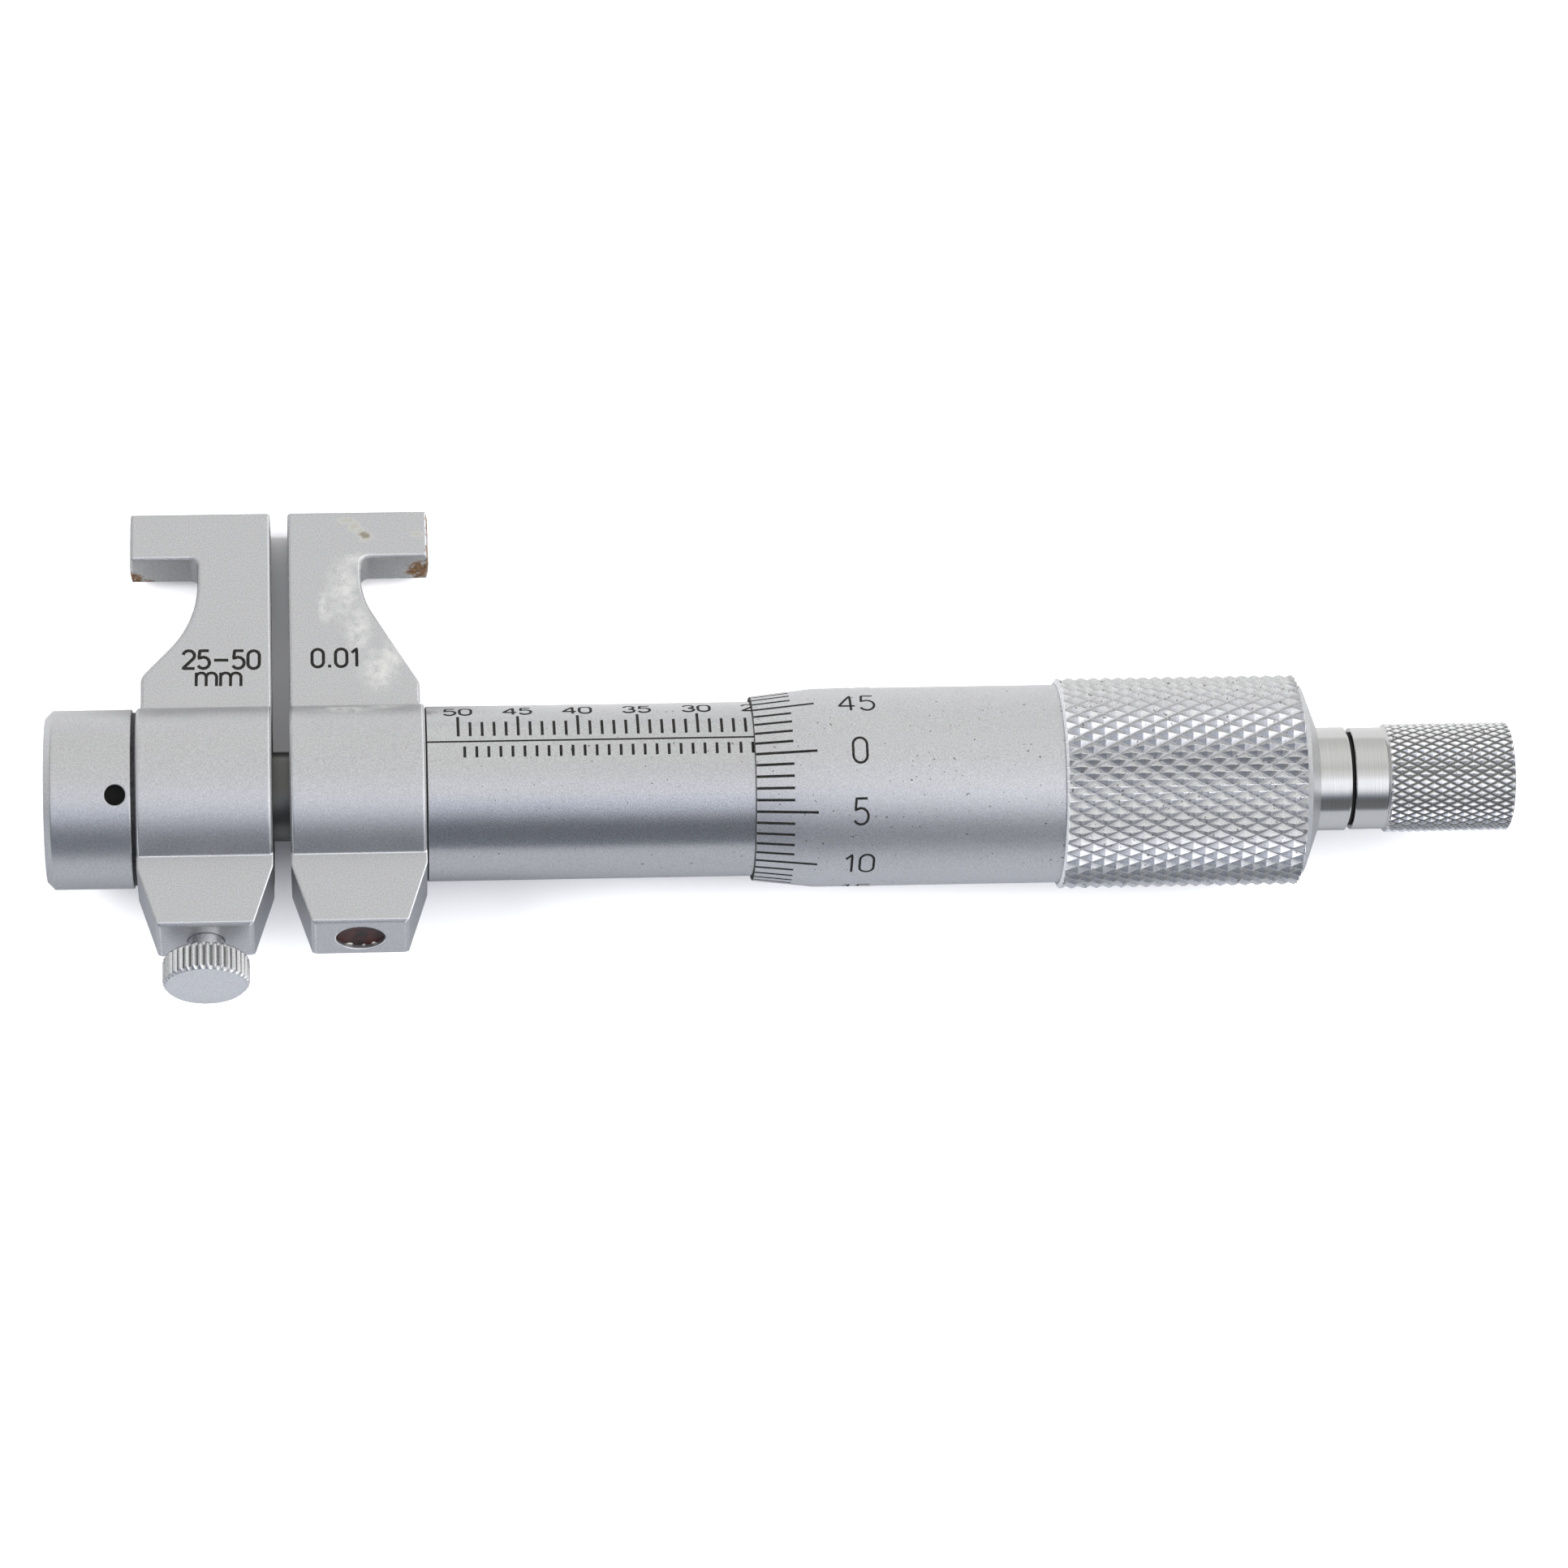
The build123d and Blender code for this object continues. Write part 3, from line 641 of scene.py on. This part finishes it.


# Jaws: rough satin with painted highlights on corners that lean one way; rust, a smear of old oil and whitish
# stains as in use
jaw_chrome, jaw_shader, jaw_place = satin("jaw_chrome", shade=1.1, roughness=0.42, edges=0.3)
worn_edges(jaw_chrome, jaw_shader, (0.75, -0.66, 0.0), 0.2)
# The two faces of the slit between the jaws are painted dark: painted shade in the slit
slit_face_shade = band(jaw_chrome, jaw_place, MOVING_RIGHT_X - 0.02, FIXED_LEFT_X + 0.02, 0.02)
coat(jaw_chrome, jaw_shader, slit_face_shade, (0.12, 0.12, 0.12), 0.5, 0.5, strength=0.6)

SMEARS = [
    ((-6.6, 18.8, 2.0), (1.0, 2.3, 1.5)), ((-5.4, 15.0, 2.0), (0.9, 1.9, 1.5)),
    ((-3.7, 10.9, 2.0), (1.3, 1.6, 1.5)), ((-2.5, 12.4, 2.0), (0.8, 1.2, 1.5)),
    ((-4.9, 21.6, 2.0), (1.7, 0.6, 1.0)), ((-8.1, 17.2, 2.0), (0.5, 1.3, 1.0)),
    ((-6.5, 5.4, 5.4), (1.9, 0.5, 1.0)), ((-3.2, 5.9, 5.0), (1.2, 0.4, 1.0)),
]
shaken = ragged(jaw_chrome, jaw_place, 1.4, 1.1)
whitish = patchy(jaw_chrome, jaw_place, spots(jaw_chrome, shaken, 0.8, SMEARS), 1.1, 0.30, 0.66)
coat(jaw_chrome, jaw_shader, whitish, (0.365, 0.365, 0.33), 0.8, strength=0.62)

OIL_STREAK = [
    ((-6.2, 25.6, 2.0), (0.65, 0.28, 1.0)), ((-5.6, 25.0, 2.0), (0.45, 0.4, 1.0)),
    ((-5.0, 24.4, 2.0), (0.4, 0.42, 1.0)), ((-4.6, 24.0, 2.0), (0.5, 0.4, 1.0)),
    ((-0.2, 24.2, 2.0), (0.5, 0.3, 1.0)),
]
near = ragged(jaw_chrome, jaw_place, 2.2, 0.6)
oily = spots(jaw_chrome, near, 0.6, OIL_STREAK)
coat(jaw_chrome, jaw_shader, oily, (0.155, 0.145, 0.09), 0.5, strength=0.6)
oldest = spot(jaw_chrome, near, (-4.7, 24.15, 2.0), (0.45, 0.3, 1.0), 0.4)
coat(jaw_chrome, jaw_shader, oldest, (0.075, 0.058, 0.026), 0.5, strength=0.7)

RUST_SPOTS = [
    ((0.8, 25.2, 0.9), (0.32, 1.3, 2.2)), ((0.66, 23.2, 1.9), (0.2, 1.0, 1.0)),
    ((0.70, 22.6, 0.2), (0.3, 1.0, 1.8)), ((-0.1, 22.05, -0.4), (1.1, 0.25, 1.6)),
    ((-24.6, 22.1, -1.2), (0.8, 0.3, 1.0)), ((-23.4, 22.05, -1.9), (0.9, 0.2, 0.5)),
]
rusty = patchy(jaw_chrome, jaw_place, spots(jaw_chrome, shaken, 0.35, RUST_SPOTS), 1.9, 0.32, 0.44)
rust = ramp(jaw_chrome, noise(jaw_chrome, jaw_place, 3.4, 4, 0.6),
            (0.35, (0.040, 0.020, 0.010)), (0.62, (0.19, 0.105, 0.042)))
coat(jaw_chrome, jaw_shader, rusty, rust, 0.85)

# Sleeve and thimble, with painted shade where they run into the hub and into each other
sleeve_chrome, sleeve_shader, sleeve_place = satin("sleeve_chrome", roughness=0.22)
coat(sleeve_chrome, sleeve_shader, band(sleeve_chrome, sleeve_place, -0.5, 0.15), SHADE_BLACK)
specks(sleeve_chrome, sleeve_shader, sleeve_place, 0.815)

thimble_chrome, thimble_shader, thimble_place = satin("thimble_chrome", shade=1.17, roughness=0.44)
edge_face = band(thimble_chrome, thimble_place, THIMBLE_EDGE_X - 0.38, THIMBLE_EDGE_X + 0.05)
coat(thimble_chrome, thimble_shader, edge_face, SHADE_BLACK)
specks(thimble_chrome, thimble_shader, thimble_place)

# Cap, with painted shade at the bottom of the hole for its spanner
SPANNER_HOLE_ANGLE = math.radians(115)
SPANNER_HOLE_BOTTOM_R = 6.35
SPANNER_HOLE_SETBACK = 1.28
cap_chrome, cap_shader, cap_place = satin("cap_chrome", shade=1.04, roughness=0.34, edges=0.2)
bottom = (CAP_FACE_X - SPANNER_HOLE_SETBACK, SPANNER_HOLE_BOTTOM_R * math.cos(SPANNER_HOLE_ANGLE),
          SPANNER_HOLE_BOTTOM_R * math.sin(SPANNER_HOLE_ANGLE))
coat(cap_chrome, cap_shader, spot(cap_chrome, cap_place, bottom, (1.27, 1.27, 1.27), 0.03), SHADE_BLACK)

screw_chrome = satin("screw_chrome", shade=1.36, roughness=0.33)[0]
# Painted shade for the floors of the grooves between the screw head's ridges
serration_groove_shade = satin("serration_groove_shade", shade=0.42, roughness=0.5, grain=0.02)[0]

# The thimble's knurl, with painted shade in its valleys
knurl_chrome, knurl_shader, knurl_place = knurl_finish(
    "knurl_chrome", shade=1.28, roughness=0.26, crest=KNURL_R - 0.45 * KNURL_DEPTH,
    root=KNURL_R - 1.05 * KNURL_DEPTH, root_shade=0.4, dark=(0.22, 0.22, 0.225))
# A painted highlight on the ring where the knurl begins
shoulder = band(knurl_chrome, knurl_place, KNURL_X - 0.2, KNURL_X + 0.22, 0.05)
coat(knurl_chrome, knurl_shader, shoulder, (0.60, 0.61, 0.63), 0.6, 0.5)
# The knob's knurl, with near-black painted shade in its valleys
knob_chrome = knurl_finish(
    "knob_chrome", shade=1.75, roughness=0.14, crest=KNOB_R - 0.38 * KNOB_DEPTH,
    root=KNOB_R - 0.95 * KNOB_DEPTH, root_shade=0.93, dark=(0.045, 0.045, 0.04))[0]

bright = turned("turned_steel")[0]
# The guide shaft, painted darker than bare steel as painted shade, and darker still in a ring of painted
# shade where the slit between the jaws leaves it open
dimmed_shaft, shaft_shader, shaft_place = turned("dimmed_shaft_steel", (0.27, 0.27, 0.265), (0.38, 0.38, 0.37), 0.24)
slit_shade_ring = band(dimmed_shaft, shaft_place, MOVING_RIGHT_X - 0.22, FIXED_LEFT_X + 0.2, 0.15)
coat(dimmed_shaft, shaft_shader, slit_shade_ring, (0.09, 0.09, 0.085), 0.33, 0.9, strength=0.9)
# The boss, with painted shade in its groove and where it goes into the thimble
stem_steel, stem_shader, stem_place = turned("stem_steel", roughness=0.12)
coat(stem_steel, stem_shader, band(stem_steel, stem_place, BOSS_END_X + 0.2, KNOB_X + 0.1, 0.01), SHADE_BLACK, 0.9)
coat(stem_steel, stem_shader, band(stem_steel, stem_place, THIMBLE_END_X - 0.2, THIMBLE_END_X + 0.05), SHADE_BLACK)

ink, ink_shader = mottled("engraving_black", (0.3, (0.004, 0.004, 0.004)), (0.7, (0.016, 0.015, 0.013)),
                          cells=4.0, roughness=0.7)[:2]
ink_shader.inputs["Specular IOR Level"].default_value = 0.2
# Near-black for the ring between the cap and its jaw: blackened steel, and painted shade of the gap it sits
# in
black = mottled("blackened_steel_and_gap_shade", (0.3, (0.012, 0.012, 0.013)), (0.7, (0.04, 0.04, 0.042)),
                cells=3.0, roughness=0.5, metallic=0.6)[0]
bronze = mottled("bearing_bronze", (0.3, (0.50, 0.33, 0.14)), (0.7, (0.66, 0.46, 0.22)),
                 cells=2.5, roughness=0.35, metallic=1.0)[0]

# Lacquer: dark, thin in places, with painted white glints at its lower rim
RIM_GLINTS = [((x, -13.2, z), (width, 0.6, 0.22)) for x, z, width in (
    (-6.6, -1.82, 0.3), (-5.4, -2.05, 0.16), (-4.5, -1.75, 0.28))]
lacquer, lacquer_shader, lacquer_place = mottled(
    "sealing_lacquer", (0.38, (0.007, 0.003, 0.003)), (0.66, (0.045, 0.008, 0.007)),
    cells=0.9, roughness=0.42, detail=4)
lacquer_shader.inputs["Specular IOR Level"].default_value = 0.25
rim_glints = spots(lacquer, ragged(lacquer, lacquer_place, 2.5, 0.5), 0.3, RIM_GLINTS)
coat(lacquer, lacquer_shader, rim_glints, (0.75, 0.73, 0.68), 0.4)
bump(lacquer, lacquer_shader, noise(lacquer, lacquer_place, 1.5, 3), 0.05 * MM)

# Carried-over nodes
FINISHES = {
    "fixed_jaw": jaw_chrome, "moving_jaw": jaw_chrome, "graduated_sleeve": sleeve_chrome,
    "end_cap": cap_chrome, "cap_ring": black, "guide_shaft": dimmed_shaft, "ratchet_stem": stem_steel,
    "sealing_plug": lacquer, "thrust_washer": bronze, "lock_pad": bronze,
}
for name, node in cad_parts.items():
    paint(node, FINISHES.get(name, bright))

# Thimble: bevelled edge, plain body, knurled grip and closed end
KNURL_ROWS = 19
KNURL_STARTS = 48
KNURL_FOOT_R = 8.52
THIMBLE_BORE_R = 7.43
STEM_HOLE_R = 2.62
net = (KNURL_X + 0.2, KNURL_END_X - 0.1)
stations = [(WALL_X, THIMBLE_BORE_R), (THIMBLE_EDGE_X, THIMBLE_BORE_R), (THIMBLE_EDGE_X, THIMBLE_EDGE_R)]
stations += [(BEVEL_END_X, THIMBLE_R), (KNURL_X, THIMBLE_R), (KNURL_X, KNURL_FOOT_R)]
stations += steps(*net, KNURL_ROWS, KNURL_R)
stations += [(KNURL_END_X, 8.44), (NOSE_X, 8.04), (THIMBLE_END_X, 4.9)]
stations += [(THIMBLE_END_X, STEM_HOLE_R), (WALL_X, STEM_HOLE_R)]
thimble = lathe("knurled_thimble", stations, sides=2 * KNURL_STARTS, closed=True)
press_knurl(thimble, *net, KNURL_ROWS, KNURL_STARTS, KNURL_DEPTH, KNURL_R)
bevel(thimble, 0.03, segments=1, angle=25)
smooth(thimble, 22)
paint(thimble, thimble_chrome, knurl_chrome)
grip = (KNURL_X + 0.02, KNURL_END_X - 0.04)
paint_faces(thimble, 1, lambda c: grip[0] < c.x < grip[1] and math.hypot(c.y, c.z) > 8.2)
on_spindle(thimble)
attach(thimble, "thimble")
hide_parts("thimble")

# Ratchet knob: plain neck, a bevelled collar, fine knurl and a pocket for its screw
KNOB_ROWS = 15
KNOB_STARTS = 40
KNOB_BORE_R = 3.35
KNOB_NECK_R = 4.31
POCKET_R = 2.7
POCKET_X = KNOB_END_X - 2.7
AXLE_HOLE_R = 1.75
AXLE_HOLE_X = KNOB_END_X - 5.1
net = (KNOB_GRIP_X + 0.34, KNOB_END_X - 0.16)
stations = [(KNOB_X, KNOB_BORE_R), (KNOB_X, KNOB_NECK_R - 0.06), (KNOB_X + 0.06, KNOB_NECK_R)]
stations += [(KNOB_GRIP_X, KNOB_NECK_R), (KNOB_GRIP_X + 0.14, 4.5)] + steps(*net, KNOB_ROWS, KNOB_R)
stations += [(KNOB_END_X, 4.36), (KNOB_END_X, POCKET_R), (POCKET_X, POCKET_R), (POCKET_X, AXLE_HOLE_R)]
stations += [(AXLE_HOLE_X, AXLE_HOLE_R), (AXLE_HOLE_X, KNOB_BORE_R)]
knob = lathe("knurled_knob", stations, sides=2 * KNOB_STARTS, closed=True)
press_knurl(knob, *net, KNOB_ROWS, KNOB_STARTS, KNOB_DEPTH, KNOB_R)
bevel(knob, 0.045, segments=1, angle=25)
smooth(knob, 22)
paint(knob, knob_chrome, bright)
paint_faces(knob, 1, lambda c: c.x < KNOB_GRIP_X + 0.2)
on_spindle(knob)
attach(knob, "ratchet")
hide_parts("ratchet_knob")

# Ratchet spring: a wire wound from the stem's shoulder to the crown.
SPRING_WIRE_R = 0.22
HALF_TURNS = 7
STEPS_IN_HALF_TURN = 14
spring_low, spring_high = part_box("ratchet_spring")
spring_start = spring_low.x / MM - SHIFT_X + SPRING_WIRE_R
spring_radius = (spring_high.z - spring_low.z) / 2 / MM - SPRING_WIRE_R
bpy.ops.mesh.primitive_circle_add(vertices=10, radius=SPRING_WIRE_R * MM, rotation=(math.pi / 2, 0, 0),
                                  location=(spring_start * MM, 0, spring_radius * MM))
spring = bpy.context.object
spring.name = "wound_spring"
settle(spring)
winding = spring.modifiers.new("winding", "SCREW")
winding.axis = "X"
winding.angle = math.pi
winding.iterations = HALF_TURNS
winding.screw_offset = (spring_high.x - spring_low.x - 2 * SPRING_WIRE_R * MM) / HALF_TURNS
winding.steps = winding.render_steps = STEPS_IN_HALF_TURN
apply_all(spring)
edit("EDGE")
bpy.ops.mesh.select_all(action="SELECT")
bpy.ops.mesh.fill_holes(sides=0)
bpy.ops.mesh.normals_make_consistent(inside=False)
done()
smooth(spring, 40)
paint(spring, bright)
on_spindle(spring)
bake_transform(spring)
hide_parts("ratchet_spring")

# Lock screw: shank, neck and a serrated head with narrow ridges. Its own X counts from the spindle's axis.
SERRATIONS = 36
GROOVE_SHARE = 0.935
GROOVE_FLOORS = (3.3, 3.46)
SCREW_TIP_X = 4.47
SHANK_END_X = 14.75
SHANK_R = 1.5
NECK_R = 1.72
HEAD_X = 15.1
HEAD_END_X = 17.6
HEAD_R = 3.6
stations = [(SCREW_TIP_X, SHANK_R - 0.2), (SCREW_TIP_X + 0.2, SHANK_R), (SHANK_END_X, SHANK_R)]
stations += [(HEAD_X, NECK_R), (HEAD_X, HEAD_R - 0.3), (HEAD_X + 0.3, HEAD_R)]
stations += [(HEAD_END_X - 0.32, HEAD_R), (HEAD_END_X, HEAD_R - 0.32)]
stations += [(HEAD_END_X, 0.5), (HEAD_END_X, 0.32), (HEAD_END_X - 0.1, 0.08)]
screw = lathe("serrated_lock_screw", stations, sides=4 * SERRATIONS)


def between_ridges(co):
    """Two points of every four round the head."""
    if not HEAD_X + 0.2 < co.x < HEAD_END_X - 0.2 or math.hypot(co.y, co.z) < HEAD_R - 0.1:
        return False
    return round(math.atan2(co.z, co.y) / (math.pi / (2 * SERRATIONS))) % 4 in (0, 1)


pick(screw, between_ridges)
bpy.ops.transform.resize(value=(1, GROOVE_SHARE, GROOVE_SHARE), center_override=(0, 0, 0))
done()
bevel(screw, 0.04, segments=2, angle=25)
smooth(screw, 30)
paint(screw, screw_chrome, serration_groove_shade)
low, high = GROOVE_FLOORS
paint_faces(screw, 1, lambda c: HEAD_X + 0.2 < c.x < HEAD_END_X - 0.25 and low < math.hypot(c.y, c.z) < high)
below_block(screw, MOVING_MIDDLE_X)
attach(screw, "lock_screw")
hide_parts("lock_screw")

# Sleeve scale: whole millimetres above the index line, halves below it, and a figure at every fifth
MARK_50_X = 2.74
MARK_WIDTH = 0.24
INDEX_WIDTH = 0.16
INDEX_ANGLE = 98.2
INDEX_ENDS = (0.1, 34.4)
WHOLE_ANGLES = (102.6, 116.1)
FIFTH_ANGLES = (102.6, 122.6)
HALF_ANGLES = (86.2, 94.3)
FIGURE_ANGLE = 130.9
SLEEVE_FIGURE_HEIGHT = 1.42
marks = [long_mark(*INDEX_ENDS, SLEEVE_R, SLEEVE_R, INDEX_WIDTH, INDEX_ANGLE)]
for i in range(26):
    x = MARK_50_X + i
    marks.append(ring_mark(x, MARK_WIDTH, SLEEVE_R, *(WHOLE_ANGLES if i % 5 else FIFTH_ANGLES)))
    if i < 25:
        marks.append(ring_mark(x + 0.5, MARK_WIDTH, SLEEVE_R, *HALF_ANGLES))
for i in range(6):
    word = letter(str(50 - 5 * i), SLEEVE_FIGURE_HEIGHT, 0.23, spacing=0.2, widen=1.21)
    marks.append(wrap(word, MARK_50_X + 5 * i, SLEEVE_R, FIGURE_ANGLE))
sleeve_scale = join("sleeve_scale", marks)
paint(sleeve_scale, ink)
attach(sleeve_scale, "frame")

# Thimble scale: 50 lines on the bevel, with a figure at every fifth
ZERO_ANGLE = 83.8
DIVISIONS = 50
LINE_WIDTH = 0.225
FIGURE_X = 36.1
THIMBLE_FIGURE_HEIGHT = 2.25
slope = (THIMBLE_R - THIMBLE_EDGE_R) / (BEVEL_END_X - THIMBLE_EDGE_X)

def bevel_line(length):
    """A line along the thimble's bevel at zero, from just inside its edge."""
    start, end = 0.05, length
    return long_mark(THIMBLE_EDGE_X + start, THIMBLE_EDGE_X + end,
                     THIMBLE_EDGE_R + start * slope, THIMBLE_EDGE_R + end * slope, LINE_WIDTH, ZERO_ANGLE)


short_line = bevel_line(3.2)
long_line = bevel_line(5.15)
lines_round = []
for i in range(DIVISIONS):
    line = copy_of(short_line if i % 5 else long_line)
    turn_about_spindle(line, -i * 360 / DIVISIONS)
    lines_round.append(line)
for spare in (short_line, long_line):
    bpy.data.objects.remove(spare)
for i in range(0, DIVISIONS, 5):
    word = letter(str(i), THIMBLE_FIGURE_HEIGHT, 0.21, spacing=0.26, widen=0.93)
    lines_round.append(wrap(word, FIGURE_X, THIMBLE_R, ZERO_ANGLE - i * 360 / DIVISIONS))
thimble_scale = join("thimble_scale", lines_round)
paint(thimble_scale, ink)
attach(thimble_scale, "thimble")

# Lettering on the jaws
WORD_HEIGHT = 1.72
WORD_Y = 12.15
distance_span = lay(letter("25-50", WORD_HEIGHT, 0.28, spacing=0.18, slope=-1.0), -17.0, WORD_Y)
unit = lay(letter("mm", 1.9, 0.26, spacing=0.16, slope=-1.0), -17.2, 10.55)
moving_words = join("range_lettering", [distance_span, unit])
paint(moving_words, ink)
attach(moving_words, "slider")
fixed_words = lay(letter("0.01", WORD_HEIGHT, 0.27, spacing=0.245), -7.4, WORD_Y)
fixed_words.name = "division_lettering"
paint(fixed_words, ink)
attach(fixed_words, "frame")

# Floor. The metals mirror a darker floor than the camera sees, as the room in front is dim.
bpy.ops.mesh.primitive_plane_add(size=3, location=(0, 0, 0))
floor = bpy.context.object
floor.name = "floor"
pale, pale_shader, pale_place = new_material("pale_floor")
pale_shader.inputs["Roughness"].default_value = 0.9
pale_shader.inputs["Specular IOR Level"].default_value = 0.0
kind = pale.node_tree.nodes.new("ShaderNodeLightPath")
shade = blend(pale, span(pale, axes(pale, pale_place)[1], -4, 8), (0.35, 0.36, 0.385), (0.49, 0.49, 0.49))
# A painted shadow under the jaws, seen only in the metals' reflections
jaw_shadow = spot(pale, pale_place, (-12.0, 14.0, -9.0), (16.0, 10.0, 14.0), 0.4)
shade = blend(pale, maths(pale, "MULTIPLY", jaw_shadow, 0.45), shade, (0.17, 0.18, 0.20))
seen = blend(pale, kind.outputs["Is Camera Ray"], (0.85, 0.85, 0.85), (0.96, 0.96, 0.96))
link(pale, blend(pale, kind.outputs["Is Glossy Ray"], seen, shade), pale_shader.inputs["Base Color"])
paint(floor, pale)

# Light: a pale tent
world = bpy.data.worlds.new("studio")
bpy.context.scene.world = world
world.use_nodes = True
tree = world.node_tree
tree.nodes.clear()
background = tree.nodes.new("ShaderNodeBackground")
out = tree.nodes.new("ShaderNodeOutputWorld")
tree.links.new(background.outputs[0], out.inputs[0])
direction = tree.nodes.new("ShaderNodeTexCoord").outputs["Generated"]
toward = axes(world, direction)


def sky(value, *stops):
    """Levels at stops in rising order: over degrees of height, or over a direction's left and right."""
    first, last = stops[0][0], stops[-1][0]
    share = maths(world, "DIVIDE", maths(world, "SUBTRACT", value, float(first)), float(last - first))
    return ramp(world, share, *[((place - first) / (last - first), level) for place, level in stops])


def cool(level):
    return (level * 0.91, level * 0.985, level * 1.18)


def fresh(level):
    return (level, level, level * 1.07)


# Degrees from the front horizon over the top: a dark room in front, pale cloth above and behind
forward = maths(world, "MULTIPLY", toward[1], -1.0)
height = maths(world, "DEGREES", maths(world, "ARCTAN2", toward[2], forward))
room = sky(height, (-180, 0.9), (-5, 0.9), (0, cool(0.42)), (6, cool(0.29)), (34, cool(0.26)),
           (44, cool(0.40)), (54, cool(0.70)), (63, cool(0.95)), (75, fresh(1.22)), (90, fresh(1.24)),
           (108, 1.17), (130, 1.13), (160, 1.12), (180, 1.1))
window = sky(height, (-180, 0.9), (-5, 0.9), (0, cool(0.42)), (4, 0.2), (29, 0.15), (37, cool(0.42)),
             (44, fresh(1.1)), (54, fresh(1.75)), (70, fresh(1.75)), (84, 1.06), (101, 0.72),
             (118, 0.90), (138, 1.05), (180, 1.0))
# The window stands to the right
light = blend(world, sky(toward[0], (-1, 0.0), (0.09, 0.0), (0.16, 1.0), (1, 1.0)), room, window)
# Behind and above, the cloth is uneven from left to right
behind = sky(height, (-180, 0.0), (120, 0.0), (160, 1.0), (180, 1.0))
behind_level = sky(toward[0], (-1, 0.85), (-0.3, 0.9), (-0.05, 1.0), (0.0, 1.12), (0.05, 1.1), (0.12, 0.8),
                   (1, 0.76))
above = sky(height, (-180, 0.0), (30, 0.0), (42, 1.0), (74, 1.0), (90, 0.0), (180, 0.0))
above_level = sky(toward[0], (-1, 1.05), (-0.1, 1.05), (0.0, 0.95), (0.02, 0.8), (0.05, 0.8), (0.09, 1.0),
                  (1, 1.0))
cloth = vectors(world, "MULTIPLY", blend(world, behind, (1.0, 1.0, 1.0), behind_level),
                blend(world, above, (1.0, 1.0, 1.0), above_level))
light = vectors(world, "MULTIPLY", light, cloth)
# The far left is darker than the far right
side = sky(toward[0], (-1, 0.5), (-0.45, 0.55), (-0.2, 0.92), (-0.1, 1.0), (0.2, 1.0), (0.45, 1.3), (1, 1.35))
link(world, vectors(world, "MULTIPLY", light, side), background.inputs["Color"])

# A lamp at each end of the object lights the floor up to its very sides, but not the slit between the jaws
LAMP_REACH = 0.9
LAMP_HEIGHT = 0.7
LAMP_LEAN = math.radians(52)
for name, end in (("left_softbox", -1), ("right_softbox", 1)):
    bpy.ops.object.light_add(type="AREA", location=(end * LAMP_REACH, 0, LAMP_HEIGHT),
                             rotation=(0, end * LAMP_LEAN, 0))
    lamp = bpy.context.object
    lamp.name = name
    lamp.data.size = 0.8
    lamp.data.energy = 16.5
    lamp.visible_glossy = False

# Camera, placed and turned as the scale's marks show it
camera = bpy.data.objects.new("camera", bpy.data.cameras.new("camera"))
bpy.context.collection.objects.link(camera)
camera.location = (-0.036386, -0.111868, 0.495700)
camera.rotation_euler = tuple(math.radians(a) for a in (12.6227, -3.8709, -1.8623))
camera.data.lens = 135.83
camera.data.sensor_width = 36
camera.data.clip_start = 0.01
bpy.context.scene.camera = camera
bpy.context.scene.view_settings.view_transform = "Standard"
